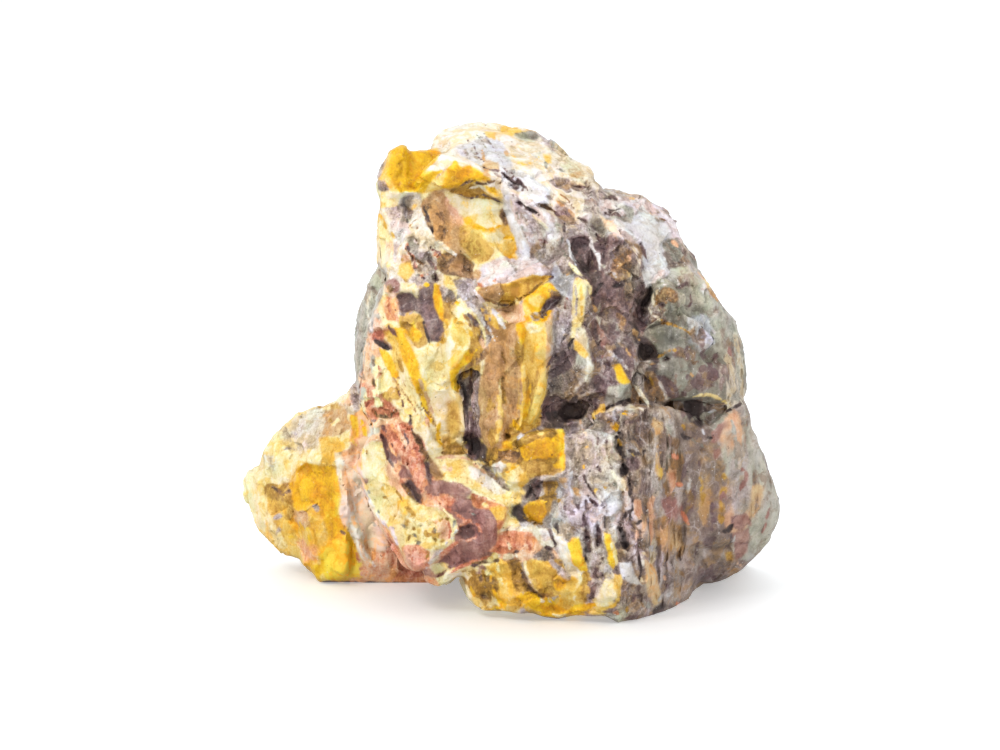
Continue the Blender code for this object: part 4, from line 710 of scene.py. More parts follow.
# Seams, cracks and rims: name, mineral, how light, steps wide, how deep, and what it runs through. Some are
# painted shadow lines under overhangs and along the foot, and some pale ones are painted highlights along
# edges
# The beak and the plates. The slit under the beak and the dark lines under the lens are carved, and painted
# dark as the shadow under these overhangs too
# The brown face. The slit along its foot is carved and painted dark as the shadow over the slab's lip, and
# the pale blade by the scoop is a painted highlight
# The lobe, with a pale line down its ridge that is partly a painted highlight, and a painted contact shadow
# along its foot
# The slab; its pale top line is a painted highlight along the lip
STROKES = """
# The crown and the crest
grey ash 1 4 1 464,146 467,158
grey ash 0 5 1 471,147 474,152 478,159
grey tan 2 4 1 482,150 485,161
grey ash 3 5 1 481,137 490,143
grey tan 4 4 1 504,150 509,158
ring honey 5 4 0 511,152 518,162 526,165 535,162 540,155
edge slate 1 5 2 545,134 556,142
edge slate 0 4 2 557,169 564,171
edge slate 1 3 2 545,161 548,169
slit plum -2.5 3.4 6 483,167 492,170 500,173 507,176 514,177 521,182 528,190
slit plum -2.5 4.2 6 508,184 516,188 524,190
slit mauve 0 3 2 493,173 501,178
slit plum 0 3 4 573,186 586,187
slit plum -1.5 2.5 5 577,217 587,221
slit plum -2 4 5 605,200 612,197 619,201
slit plum -2.5 4.2 6 604,213 612,211 620,217
slit plum -1.5 5.1 8 512,194 518,201 525,207 532,211 541,216
slit plum -3 4 6 537,205 545,206 552,210
slit_dark plum -1 7 2 510,178 518,182 526,188
fleck ash -2 4 2 546,196 552,199
freckles tan 2 4 0 556,201 566,208 575,217
# The left margin
gold gold 0 4 0 379,214 384,222 388,230
gold honey -1 4 0 391,233 396,238
dot pitch 4 4 3 403,203 404,207
dot pitch 4 4 3 406,218 407,223
dot rust 1 4 2 415,225 418,229
shade mauve 6 5 1 406,206 411,212 409,220
honey honey 1 4 0 418,201 412,210
crest pale 9 4 -3 422,214 425,228 433,237 445,247 456,257
fold pale 9 5 -3 420,210 412,226 403,240 397,262
pit_rim brick 3 3 0 406,235 408,240 406,249
pit_rim brick 4 3 -1 407,253 413,256 416,266 419,271
pit_rim rust -2 3 4 411,256 413,262 415,269
pit_white chalk 5 3 -1 414,240 417,245
pit_dark plum -1 4 3 407,247 411,251
pit_dark mauve -1 5 3 419,266 420,272
pit_dark slate 0 4 2 413,274 421,276
pit_spot ochre 1 4 1 401,259 403,261
pit_tan_spot ochre 2 4 1 404,279 408,283
red_vein brick -4 4 3 424,242 429,247 433,252 437,256
red_vein maroon -4 6 4 427,257 432,263 435,270 435,277
red_vein mauve 4 5 1 424,250 430,256 434,263
red_hole plum -2.5 6 8 432,277 438,281
red_cap brick -2 5 0 421,277 430,275
chip_gold gold -3 5 0 423,284 428,286
bead_ring peach 4 3 -1 385,284 387,293 393,297 400,293
# The beak and the plates
beak_slit rust -5 3 4 452,192 460,187 467,182 474,181 482,184 492,181 502,183
beak_lower_slit plum -1 3 4 458,195 470,198 484,195 493,199 503,203
beak_gleam pale 7 3 -1 470,188 480,186 487,192
beak_peak gold 6 4 -2 455,161 453,170
plate_peach peach 1 5 0 446,198 450,208 457,214
plate_blue plum 1 3 2 425,217 429,222 432,228 434,236
plate_white ice 3 4 0 424,222 427,227
plate_rim pale 9 3 -2 431,238 440,244 448,251 458,256
plate_orange tan 0 5 0 434,226 438,236 436,241
mustard_rim ochre 0 4 1 463,228 466,240 470,252
mustard_ring gold -2 4 0 503,240 508,236 514,240 516,250 510,258 504,254
mustard_seam gold 0 5 0 466,222 476,227 490,229 500,226
rib_shade slate 5 3 1 516,212 522,226 528,242
rubble_slit maroon -5 3 5 530,245 535,241 541,240 548,243
rubble_slit plum 1 4 3 554,212 560,215
rubble ash 1 4 2 521,213 527,222 532,232
rubble ash 3 4 1 528,218 537,224 545,231
rubble pale 8 4 -2 531,214 540,222 551,232
rubble ice -2 5 0 524,228 530,234
ledge_fold ash 4 3 1 514,262 517,272 513,278
lens_dark rust -5 3 3 474,297 482,298 490,301 500,305 510,305
lens_rim ochre -5 4 5 509,305 518,300 528,296 535,289 542,282
lens_tip plum -0.5 3.4 5 549,279 554,277
plate_soot pitch 2 3 2 422,206 427,214 431,224 434,236
crumb_ring rust -6 1.8 3 404,244 408,237 414,236 418,242 418,250
crumb_under rust -4 2.4 3 405,248 411,256 420,261 428,268
crumb_maroon maroon -4 2.4 3 424,240 430,248 438,252 446,261
crumb_plum plum -1 3.2 4 428,257 432,267 436,278
crumb_left maroon -1 2 2 410,254 414,262 416,273
crumb_low plum 2 2 3 418,276 426,280 436,280
crumb_mid rust -2 2 2 466,261 470,271 473,281
crumb_high rust 0 2 2 408,228 413,222 419,217
crown_graze slate -3 1.6 1 460,142 466,150 470,160
crown_graze plum 3 1.6 1 467,138 474,147 480,158 486,164
crown_graze slate -2 1.6 1 476,134 484,144 490,156
crown_graze ash -2 1.6 1 484,134 492,146 500,158 504,166
crown_dash plum 0 2.2 3 502,168 510,172 518,178
crown_dash pitch 3 2.6 4 506,176 514,182 524,188
crown_dash ash 0 2.2 1 526,196 536,204 544,214
crown_dash pitch 2 3 4 518,200 528,208 540,215
crown_dash rust -2 2.6 3 538,204 548,208 556,212
crown_dash mauve -2 2 2 524,216 532,224 540,230
crown_dash mauve 0 2 2 556,186 566,184 576,186
crown_dash rust 0 2 2 560,194 568,200 574,208
# The legs, the flow and the column
flank_line pale 9 4 -2 371,290 367,305 369,320 372,332
flank_dark slate 1 8 1 361,300 358,320 358,350 362,372
red_thread brick 1 3 0 389,298 388,308 393,320
orange_thread peach 0 4 0 375,318 380,326 376,330
lobe_rim pitch 5 4 3 413,311 420,313 424,322 427,334 429,344
leg_pink mauve 4 4 0 398,312 406,315 412,312
leg_rim rust 0 3 1 452,290 455,300 449,310
leg_foot honey 2 5 0 430,344 436,347 443,343 447,332
stripe_tail honey 0 5 0 446,320 447,332 443,342
ribbon gold 2 6 -1.5 395,328 402,338 407,350 411,365 414,378
ribbon gold -2 5.5 -1.5 414,376 417,388 421,398 425,408 432,424
ribbon_shade tan 2 4 1 419,376 422,388 427,398 434,414
stripe_left gold 0.5 7 -1.5 380,349 387,358 392,367 398,378
stripe_left ochre 1 4 1 396,352 400,362 402,372 408,380
blob_dark maroon -5 5 3 388,326 394,332 397,336
blob_low pitch 5 5 4 374,340 382,344 392,350
red_spot rust -5 4 2 372,380 376,385
red_spot brick 0 5 0 378,366 381,373 376,380
red_spot mauve 2 4 1 362,372 364,380
red_spot mauve 3 4 1 372,360 374,366
flow_tan_line tan 0 3 1 398,378 408,380
column_line honey -1 3 0 452,352 457,346 462,341
column_top gold 3 4 0 456,302 459,306
column_brown rust -2 4 3 462,310 466,318 470,326
column_dark plum -2 5 4 468,314 474,320 478,330 481,340 485,347
column_rim peach 1 4 -1 480,338 484,346 488,350
groove_rim rust -1 5 2 488,351 480,360 470,366 462,376
groove_slit pitch 3 4 3 455,381 463,385 467,400 467,424
vein_white ice 6 4 -1.5 462,296 472,306 482,318 490,330 495,342
vein_white chalk 6 4 -1.5 474,290 482,300 492,312 500,322
vein_gold honey 0 4 0 480,306 488,318 498,328
vein_dot slate -5 4 2 457,297 459,298
vein_dot ash -1 5 1 464,303 468,308
vein_violet plum 4 2 1 478,306 486,322 490,338 488,350
brow_brick brick 1 2 1 386,296 389,306 394,316 399,322
groove_crest rust -3 4 2 490,346 482,354 474,361 466,368
groove_gold_edge gold -2 4 -2 480,346 470,358 458,368 450,380 460,388
flake_groove maroon -6 2.4 3 383,424 388,436 394,448
flake_groove plum -1 3.4 4 380,434 386,446 390,460 396,472
flake_groove brick -8 2 3 404,440 405,450 408,462 412,474
flake_groove maroon -5 2 3 396,386 402,398 404,408
flake_glow ember 4 5 -1 392,424 398,434 404,444
flake_glow ember 2 5 -1 412,450 416,462 418,474
flake_rim rust -4 4 3 412,430 418,440 424,452 432,464
# The columns and the grey strip
vein_end ice 6 6 -1.5 490,308 498,318 505,329
vein_yellow honey 1 7 0 484,307 491,317 499,329
knob_edge gold -3 5 2 530,294 527,302 532,310 540,311
knob_v gold -0.5 6 -1 549,311 541,322 531,321 524,316
knob_v_dark ochre -1 4 3 530,312 536,318 541,313
groove_green ochre -6 5 3 502,350 505,364 503,378 504,400 504,432
groove_light cream 2 3 0 501,372 500,400 501,430
orange_drop ember -2 4 0 488,374 494,375
honey_line honey 4 4 -1 529,330 527,352 525,372 522,400
honey_line honey -3 3 1 535,334 533,360 530,384
honey_line honey 4 4 -1 541,376 536,396 530,420
honey_line gold -3 5 0.5 531,384 528,400 524,420
honey_line tan -1 3 1.5 522,372 521,400 518,430
strip_light ash 6 3 -1 571,308 565,328 557,348
strip_dark plum 0 4 3 554,353 559,357
strip_dark mauve -4 3 2 560,304 557,318 555,332
strip_dark plum 1 3 2 547,368 552,360 558,352
strip_pink maroon 3 4 1 567,298 566,310
finger_line honey -1 4 0 580,284 582,298 581,316
finger_shade ash 0 3 1 575,284 577,300 575,320
finger_slit pitch 3 3 5 568,347 573,339
ring slate 4 3 -2 583,322 590,316 598,318 600,326
ring plum 0 5 3 584,323 589,331 592,340
ring plum -2 5 3 590,322 596,324 596,332
plate_gleam rust 2 5 0 562,360 568,364
plate_tri pitch 5 5 4 570,402 578,394 588,390
plate_tri ash 3 4 -1 572,392 580,384 586,376
# The scoop and the face
scoop_gleam ice -1 5 1 567,239 571,252 577,265
ridge_slit pitch 3 3 3 563,222 563,233
ridge_slit slate -5 3 2 561,236 563,248 566,258
ridge_tan tan 0 3 0 563,277 571,272
scoop_rim cream 6 5 -2 569,262 577,271 584,280 590,286 590,294
scoop_ridge chalk 3 4 -3 582,226 589,237 593,248 598,258
scoop_ridge ice 5 4 -3 598,254 600,270
scoop_ridge slate 4 5 0 603,264 608,276
scoop_deep pitch 3 8 3 574,250 582,264 592,278
scoop_mauve mauve 0 5 0 592,262 596,272
face_cut plum -3 4 4 596,233 600,240 608,244
face_cut pitch 4 4 5 592,297 597,289 604,282 610,273
face_cut pitch 4 6 5 612,286 619,285 627,280
face_cut plum -1 4 4 640,243 645,254 648,263
face_orange tan -2 5 0 613,266 622,264
face_orange peach -3 4 0 628,254 631,262
face_orange tan -1 4 0 627,272 630,278
face_light ash 2 4 -2 612,270 617,278
face_spot rust -1 5 2 617,262 622,256
face_edge pale 4 4 -2 629,241 637,252 641,266
face_blue ice 0 4 0 644,259 649,270
face_streak plum 0 5 2 642,262 643,284 638,300
face_streak ash 1 3 -1 600,300 598,318 600,340
shoulder_gold honey 0 4 0 627,200 634,199
shoulder_tan tan 1 4 1 645,212 656,212
shoulder_tan slate -3 4 2 654,218 664,222
shoulder_blue ice -3 6 1 626,226 632,232
flow_seam tan -3 2 1 404,382 412,396 420,410 428,424 436,440
flow_seam_low rust -2 2 2 420,402 428,414 434,424 440,436
flow_crack tan -5 1.6 2 394,378 402,390 412,404 418,416
# The shoulder and the boulder
lump_olive slate -2 4 1 663,243 667,250
lump_peach peach 1 5 0 671,240 678,247
brow_orange peach -1 4 0 697,272 704,280
brow_line tan -4 4 2 705,283 712,293 720,301 728,309
brow_slit slate -4 4 3 656,288 661,281 667,277
brow_dot slate -5 3 2 672,281 677,282
brow_blue ice 2 4 0 660,280 665,284
boulder_ring pale 2 4 -2 658,289 653,296 653,304 658,310 664,312
boulder_blot plum -2 6 4 658,303 664,307 662,312
boulder_white chalk 2 4 -2 663,285 672,281 680,284
boulder_rim plum 1 4 3 671,286 679,288 686,283 693,287
boulder_gold rust 6 5 0 662,291 671,293
boulder_vein plum 1 3 2 690,294 692,302 687,308
boulder_vein ochre 2 3 -1 654,317 667,323 682,328 690,333
boulder_vein slate -8 4 2 668,300 674,310 672,316
boulder_pale pale 0 3 -2 648,308 653,316 660,320
boulder_pale chalk 2 4 -1 712,330 716,335
boulder_mauve mauve 0 5 0 699,330 705,334
boulder_teal slate -5 5 1 704,362 710,354 714,350
boulder_ledge ochre 3 4 -3 656,359 668,351 684,349
boulder_under mauve -5 6 3 663,361 672,356 685,356
boulder_red brick -2 5 0 676,352 681,354
boulder_brown rust 0 4 1 650,365 660,360
boulder_speck rust -2 4 2 692,364 698,362
boulder_speck tan 0 4 0 690,372 694,376
boulder_speck plum 0 5 3 681,392 686,396
trough_gold ochre 0 4 -1 649,378 657,392
trough_rust rust 0 5 0 668,386 674,394
trough_rib ash 3 4 -2 655,376 664,392 668,402
flank_pink maroon 6 6 0 726,346 731,356
flank_pink mauve 6 6 0 728,364 723,376 721,390
flank_light slate 7 5 0 738,340 735,360 739,382 738,400
flank_dim slate -1 6 1 743,340 745,366 748,396
pit_lip cream -4 4 -2 693,398 706,394 718,398 728,403
pit_floor slate -5 5 0 690,420 704,416 716,410
# The brown face
tan rust 2 6 0 617,313 622,320 624,332
tan tan -4 5 0 634,329 640,340
tan tan -2 6 0 626,347 631,357
tan tan -3 4 0 593,306 597,312
pink maroon 3 6 0 597,324 604,340 603,358
pale ash 6 4 -2 604,346 616,357 628,370
pale ash 1 6 -2 634,360 640,370 636,382 641,396
pale pale 2 4 -2 635,383 642,396 649,407
plum plum 1 6 2 606,362 612,374 606,386
plum plum 0 5 2 600,376 604,386 598,393
plum plum 2 5 1 628,300 624,312
slit pitch -1 4 6 604,409 616,405 628,401 641,402
cream cream 0 5 -1 599,404 604,412
hole_left plum -4 8 4 584,402 594,400 596,410
scoop_blade ice 4 2 -2 598,238 599,250 600,262 602,272
brow_dark pitch 2 2 3 604,207 612,210 620,209
brow_dark_low plum 0 2.4 3 604,212 612,216 618,214
shoulder_slit rust 0 3 2 652,215 660,219 668,220
shoulder_dash ash -2 2.4 1 646,211 654,210 662,213
# Between the columns and the gold cube
foot_line ochre -7 4 3 440,452 452,454 468,452
foot_salmon peach 0 4 0 433,458 450,457 466,458
foot_gold gold -2 5 0 440,420 438,435 442,450
groove_rim mauve 1 5 0 473,396 476,415 474,436
column_light honey 5 6 -2 498,395 502,412 499,430 496,442
column_line tan 4 4 -2 504,405 507,418 502,432 499,446
tip_gold honey -5 4 0 497,450 494,458 489,464
knob_orange gold -5 5 0 513,420 516,426 522,430
cube_glint chalk 2 4 -1 514,441 521,436 528,433
cube_glint honey 9 5 0 538,434 544,433
cube_bright gold 3.5 8 0 553,440 552,452
cube_edge ochre -1 3 2 520,447 530,441 542,438
cube_fold ochre 0 3 2 522,459 530,461 540,459 556,458
cube_plum plum 3 3 1 528,460 532,460
cube_glow gold 0 6 0 556,462 558,470
cube_foot ochre 3 4 1 545,472 554,474 562,470
hollow_orange honey -4 3 -2 500,450 510,449 519,452
hollow_tan tan -2 4 -1 505,458 513,459 521,462
shelf_tint peach 5 7 0 442,466 452,470
shelf_tint ochre 5 3 0 480,482 488,486 494,494
shelf_tint peach 2 4 1 466,459 476,465 486,473
tooth_line gold -1 3 0 506,473 512,468 519,465
tooth_shade mauve 4 4 2 500,479 506,486 510,492
block_slash pitch -1 4 4 534,480 531,490 526,498
block_slash pitch 0 4 3 543,481 538,488 534,498
block_ledge ochre -8 4 2 533,501 544,499 556,496
cube_rim_small gold 6 3 -2 530,503 540,502 547,502
small_edge ochre -4 3 2 522,515 532,522 543,523
gash_tall plum -3 7 6 584,516 585,528 588,540 590,552
gash_mid plum -2 4.5 5 598,524 599,535 597,546
gash_thin plum 0 2.6 4 583,478 590,488 597,498 604,508
gash_thin plum 0 2.6 4 588,496 594,504 600,512
gash_thin mauve -4 2.2 3 574,470 578,482 580,494
gash_thin mauve -4 2.2 3 606,446 610,458 612,470
gash_low plum 1 6 4 592,556 596,570 594,586 590,600
# The slab
top pale 2 5 -3 606,412 618,408 630,407 645,409
orange_dot gold -7 5 0 623,413 629,413
blue ice 2 6 -2 613,412 616,421
gold_dot gold -5 7 0 609,423 616,426 616,431
honey honey -1 8 0 604,404 597,412 594,418
rust plum 1 9 3 588,398 594,406 590,412
notch pitch 2 5 4 618,432 622,434
crack pitch -9 7 12 617,437 620,449 622,460 625,468 628,474
crack_foot pitch -8 7 10 622,466 621,473 628,474
crack pitch 1 4 5 629,478 632,500 630,520
crack pitch -8 8 12 619,524 623,536 627,550
olive ochre 3 4 0 618,439 621,445
olive ochre 5 6 0 632,450 634,455
dark pitch 2 5 4 628,450 640,454 646,450
dark plum 0 4 2 622,421 630,423 640,419
white pale 7 9 -3 619,478 624,490
white ice 3 6 -2 616,492 614,504 617,514
grain plum 3 6 2 682,409 683,418
grain ochre 0 5 0 682,424 686,431
grain pitch 2 7 4 677,430 684,437 692,437
grain slate -6 4 2 692,438 698,444 704,446
grain brick 1 5 0 672,454 678,458
grain honey -3 5 0 658,464 661,478
grain plum 3 5 2 684,464 682,480
grain brick 1 5 0 676,483 684,486
grain peach 1 5 0 654,494 652,502
grain rust 0 6 2 688,486 692,500 684,516
grain brick 0 5 1 682,512 686,520 690,526
grain ash 6 4 -2 690,478 688,492
grain ochre 3 6 0 700,476 703,490 702,506
grain ochre 1 6 0 721,500 722,514 720,524
grain plum 2 5 2 712,500 714,520 711,532
grain maroon 0 5 2 733,523 741,523 745,516
grain pitch 2 5 4 722,532 728,530 733,525
grain ash 6 3 -2 735,536 732,544 734,552
grain plum 1 6 3 698,542 695,552 694,562
grain plum -2 6 3 702,578 710,574 716,580
grain maroon 4 6 0 724,492 722,502
grain peach 1 5 0 737,562 741,566
flank_line slate 9 4 -1 731,420 736,440 742,458
flank_line slate -2 3 1 735,448 737,460 736,476
flank_line maroon 4 6 0 741,468 746,476 740,490
flank_line maroon 5 4 0 770,508 767,520 762,534
flank_line slate 3 6 0 770,470 778,495 776,512
flank_blue slate 3 8 0 750,440 752,452
pit_shine ice 0 3 0 708,413 715,410
pit_blue slate -5 5 2 716,419 722,420
pit_white ice 3 4 -2 702,428 705,435
pit_dot pitch 2 4 3 705,437 712,437
pit_line pitch 3 4 4 726,412 734,408 742,403
# The saddle and the maroon slab
saddle_cream cream 4 5 -1 482,503 488,507
saddle_line brick 0 3 1 472,494 484,497 496,501
saddle_line maroon -3 4 2 456,504 458,511 470,512
saddle_line brick 2 4 0 446,500 450,510 462,518 470,522
saddle_salmon brick 3 4 -1 456,530 462,524 470,521 478,526 482,532
eye_rim brick 3 3 -2 459,540 468,541 475,538 479,532
eye_blue slate -2 3 0 472,513 477,517
maroon_glint maroon 6 5 0 484,512 491,519 493,528
maroon_streak maroon -2 6 1 488,532 489,544 482,552
maroon_streak maroon 3 6 0 450,560 464,550 478,546
maroon_edge brick -2 4 1 448,573 462,566 478,560 492,556
maroon_fold maroon -3 4 2 438,577 446,570 452,566
strip_red brick 0 4 0 497,545 503,550 500,557
strip_red brick 2 4 0 521,533 527,534 532,537
strip_red brick -1 4 1 527,542 530,548 527,554
strip_white pale 7 4 -2 505,540 511,546 510,550
strip_white chalk 5 8 -2 541,530 547,536 545,545
strip_spot plum 0 3 2 507,552 512,553
strip_spot plum 0 4 2 514,554 519,551
strip_spot plum 1 6 2 545,548 553,549
strip_spot plum 0 4 2 534,556 542,556
strip_under rust 0 4 3 472,564 484,562 496,561 508,559 520,559
strip_pink pale 3 5 -1 498,556 508,557 520,556
toe_seam rust -1 5 5 520,571 526,580 532,590 538,596
toe_seam ochre -3 4 3 482,568 486,582 490,598
toe_seam rust 2 5 3 538,596 546,596 550,601
toe_shine cream 5 3 -1 524,560 525,568 529,576
toe_shine pale 5 4 -1 540,600 544,602
toe_shine pale 3 4 -1 549,598 551,603
toe_shine cream 0 5 -1 497,563 499,574 503,584
toe_yellow gold -1 5 0 491,575 493,590 499,600
toe_yellow gold -2 4 0 470,586 474,597
toe_yellow gold 1 4 0 560,596 561,602
toe_yellow gold -1 4 0 491,610 500,608
toe_spot rust -2 4 2 546,608 546,613
toe_spot plum 1 4 2 472,565 478,566
toe_spot brick 3 4 0 538,612 542,614
toe_spot rust 1 5 2 481,575 483,584
toe_spot rust 1 4 2 485,588 491,591
toe_cream_edge honey 0 5 -2 508,606 520,604 530,610 540,615
toe_foot_edge cream 0 4 -2 552,615 562,616 570,612
# The scree
ray peach 8 4 -3 580,420 583,430 586,436
ray chalk -2 4 -2 582,480 588,492 594,500
ray chalk -1 5 -3 588,508 593,520 594,540 594,548
ray chalk -2 5 -3 602,500 603,515 602,530
ray pale 3 4 -2 592,482 597,492 600,504
ray chalk 1 4 -2 596,450 594,460 598,466
ray chalk 0 4 -2 604,440 602,450 606,456
ray chalk -2 4 -2 574,510 582,506 583,496
ray ice 2 4 -1 572,472 570,486 574,496
ray ice 0 5 -1 612,492 610,504 614,512
ray chalk 2 4 -2 610,432 613,442 612,452
ray pale 5 4 -2 612,470 616,478 622,484
pit plum 1 4 3 583,474 585,481
pit plum 0 5 5 590,500 596,506 591,508
pit plum 0 4 5 585,500 587,508 590,514
pit plum 0 4 3 578,504 578,510
pit plum 1 4 3 606,440 607,446
pit plum 3 4 2 572,444 574,452
pit plum 2 4 2 598,466 601,472
pit plum 1 4 2 566,500 564,508 566,513
pit pitch 1 5 4 557,518 556,528 558,538
pit plum 1 4 3 570,516 576,514
pit pitch 0 4 5 605,517 606,526 606,534
pit slate -6 5 2 613,482 615,486
pit plum 2 5 2 598,438 597,445
pit pitch 2 5 4 584,540 586,550 587,562
pit plum 0 4 3 599,572 603,576
pit plum 2 4 2 616,544 620,548
gold honey 0 5 0 583,444 587,448
gold ochre 1 4 1 603,489 612,486
gold honey 2 4 0 595,487 596,493
gold gold 4 4 0 583,464 584,468
gold ochre 2 4 0 555,500 562,503
slope plum 2 4 2 549,528 553,538 556,546
slope pale 6 4 -2 553,528 558,540 563,552
slope chalk 2 5 -2 596,552 592,562 590,572
slope chalk -2 5 -1 604,572 608,566 610,574
yellow_core gold 0 5 0 570,543 573,546
yellow_edge cream 3 4 -1 611,540 615,553 617,565
yellow_back ochre 2 4 1 584,572 583,582 580,592
cream_edge cream 5 4 -2 578,572 580,580 576,590 574,600
facet_edge honey -2 4 0 620,590 618,600 610,607
# The foot of the slab
crack pitch 2 4 4 621,524 627,512 632,511
crack pitch 3 4 3 634,527 641,520
crack plum 0 6 4 640,584 638,592 641,602
crack pitch 2 4 4 637,552 641,568 640,580
blue slate -3 7 1 645,603 649,607
fleck plum 2 5 2 665,584 669,588
fleck tan -1 4 0 655,594 658,600
fleck peach 0 5 0 664,574 666,580
fleck rust 0 4 1 678,570 684,576
fleck ash 5 4 -1 672,592 664,598
fleck brick 1 5 0 675,604 679,603
fleck ice -2 6 0 651,546 653,552
fleck ash 5 4 -1 634,556 636,566
fleck mauve 7 4 -2 634,584 631,594 636,602
fleck plum 2 5 2 634,592 633,602
fleck brick 2 5 0 614,612 618,614
fleck ash 6 4 -2 658,602 664,594
fleck pale 4 4 -2 641,578 644,582
fleck ochre 4 4 0 628,606 626,612
toe_rim_gold gold -2 5 -1 554,606 570,612 584,608 598,604
# The flakes
cut maroon -6 5 4 380,434 384,440 387,450 388,460
cut maroon -5 4 3 382,424 384,431
cut brick -5 4 5 404,448 403,456 405,464
cut brick -4 3 4 408,448 408,458 409,466
cut rust -1 4 4 373,410 377,416 390,416 397,410
cut plum 2 4 4 411,416 410,424 412,430
cut plum 3 3 3 404,432 407,442 405,448
cut brick -2 3 2 412,440 416,452 420,464 424,478
red brick -2 6 0 384,408 388,412
red brick -2 5 1 365,402 369,409 368,418
red brick 0 4 1 405,450 406,460
orange peach -6 5 0 420,462 422,472
pink peach 6 4 -2 398,426 402,438 406,446
pink peach 4 5 -2 390,480 398,488 408,500
pink maroon 7 5 0 424,486 430,492 438,494
wine maroon -3 4 2 392,454 398,466
wine maroon 1 4 2 418,488 420,494
wine plum 2 4 4 371,420 376,421
margin_gold gold 0 6 0 361,420 364,428 366,436
margin_gold gold 2 6 0 352,418 353,425
margin_gold honey -1 6 0 353,436 356,446
margin_brown rust -1 5 3 373,380 376,385
margin_dot ochre 1 3 2 426,430 427,435
margin_streak peach 1 4 0 425,416 427,425
# The pits and rims of the cream slab
pit_speck slate -6 4 5 402,525 408,529
pit_speck slate -5 4 5 413,533 417,536
pit_speck slate -5 5 5 416,542 421,543
pit_speck slate -5 3 4 418,524 422,527
pit_speck slate -6 4 5 433,528 435,532
pit_speck ochre -4 4 4 436,538 434,545
pit_speck ochre 0 3 3 413,526 415,530
pit_speck slate -3 3 3 430,519 433,523
pit_speck ochre 2 3 2 393,513 395,517
pit_speck slate 2 4 2 369,490 370,495
pit_speck slate 1 3 2 378,510 380,513
pit_speck slate 2 3 2 391,527 395,530
pit_speck ochre 2 3 2 383,497 387,499
pit_speck ochre 3 3 2 367,450 369,462
pit_speck ochre 0 3 3 446,518 448,521
pit_speck slate 1 3 3 455,520 453,527
pit_speck slate -2 3 3 437,549 440,548
pit_speck ochre -1 3 3 424,560 428,554 430,548
pit_speck slate 1 3 2 424,522 428,524
pit_speck ochre 1 3 2 408,540 410,536 414,537
slab_line ochre 3 3 1 392,486 398,494 402,502
slab_line ochre 3 3 1 404,506 412,512 415,522
slab_line chalk 6 4 -2 361,484 368,497 374,508
slab_line chalk 6 4 -2 377,513 383,522 392,530 398,545
slab_line chalk 4 4 -2 448,541 438,552 430,562 426,568
slab_line brick 4 3 0 447,522 451,530 449,538
slab_line ice 3 4 -1 456,530 452,538
slab_line peach 5 4 -2 426,504 440,508 450,518
slab_line brick 1 4 0 414,556 412,562 416,566
# The lobe
notch rust -1 4 3 268,485 276,490 284,494 290,490
notch rust 3 4 2 344,526 342,532 347,535
spot ash -1 6 0 290,437 297,434
spot ash 1 5 0 284,449 294,450
spot ash 2 7 0 313,506 320,510
spot ash 3 6 0 274,518 282,516
spot ochre 4 4 0 318,407 326,405 334,405
spot ochre 2 6 0 330,418 331,424
spot ochre 1 5 0 319,430 321,434
spot rust 4 5 0 345,404 350,406
glow gold 3 9 0 302,476 304,488
glow gold 2 8 0 327,508 330,520
glow gold 2.5 12 0 332,562 342,566
rib cream 5 7 0 246,485 250,500 258,515
rib brick 4 5 0 354,545 358,560 362,575
rib gold -2 7 0 348,534 352,548 354,562
ridge_line pale 9 6 -1 352,500 356,530 364,555 374,567
ridge_dim ember 5 8 0 373,548 376,556
ridge_dim slate 4 6 0 370,522 376,526
contact plum 0 4 3 322,582 360,584 400,583 434,585
strand ember 6 4 0 346,470 350,500 356,530 364,556 374,572
"""


def entries(drawing):
    """Each entry of a drawing: (its words, its corners)."""
    for line in drawing.strip().replace("\n ", " ").splitlines():
        if not line.startswith("#"):
            words = line.split()
            corners = [[float(part) for part in word.split(",")] for word in words if "," in word]
            yield words[: -len(corners)], np.array(corners)


def tenths(word):
    """A number that the drawing gives in tenths."""
    return float(word) / 10


# ---------------------------------------------------------------- noise on points


def hashed(cells, seed):
    """A number from 0 to 1 for each whole-numbered cell."""
    cells = cells.astype(np.int64)
    mixed = np.bitwise_xor.reduce(cells * CELL_SCATTER, axis=1) ^ seed * SEED_SCATTER
    mixed = (mixed ^ (mixed >> 13)) * STIRS[0] & LOW_31_BITS
    mixed = (mixed ^ (mixed >> 16)) * STIRS[1] & LOW_31_BITS
    mixed = mixed ^ (mixed >> 15)
    return (mixed & LOW_24_BITS) / float(LOW_24_BITS)


def soft_noise(points, size, seed):
    """Smooth noise from -1 to 1 whose lumps are about size across."""
    places = points / size
    cells = np.floor(places)
    share = places - cells
    share = share * share * (3 - 2 * share)
    total = np.zeros(len(points))
    for corner in range(8):
        step = np.array([corner & 1, corner >> 1 & 1, corner >> 2 & 1])
        weight = np.prod(np.where(step == 1, share, 1 - share), axis=1)
        total += weight * hashed(cells + step, seed)
    return total * 2 - 1


def rough_noise(points, size, seed, octaves=4):
    """Noise with ever finer lumps, from about -1 to 1."""
    total = np.zeros(len(points))
    reach = 0.0
    for octave in range(octaves):
        share = OCTAVE_FADE**octave
        total += share * soft_noise(points, size / 2**octave, seed + octave * OCTAVE_SEED)
        reach += share
    return total / reach


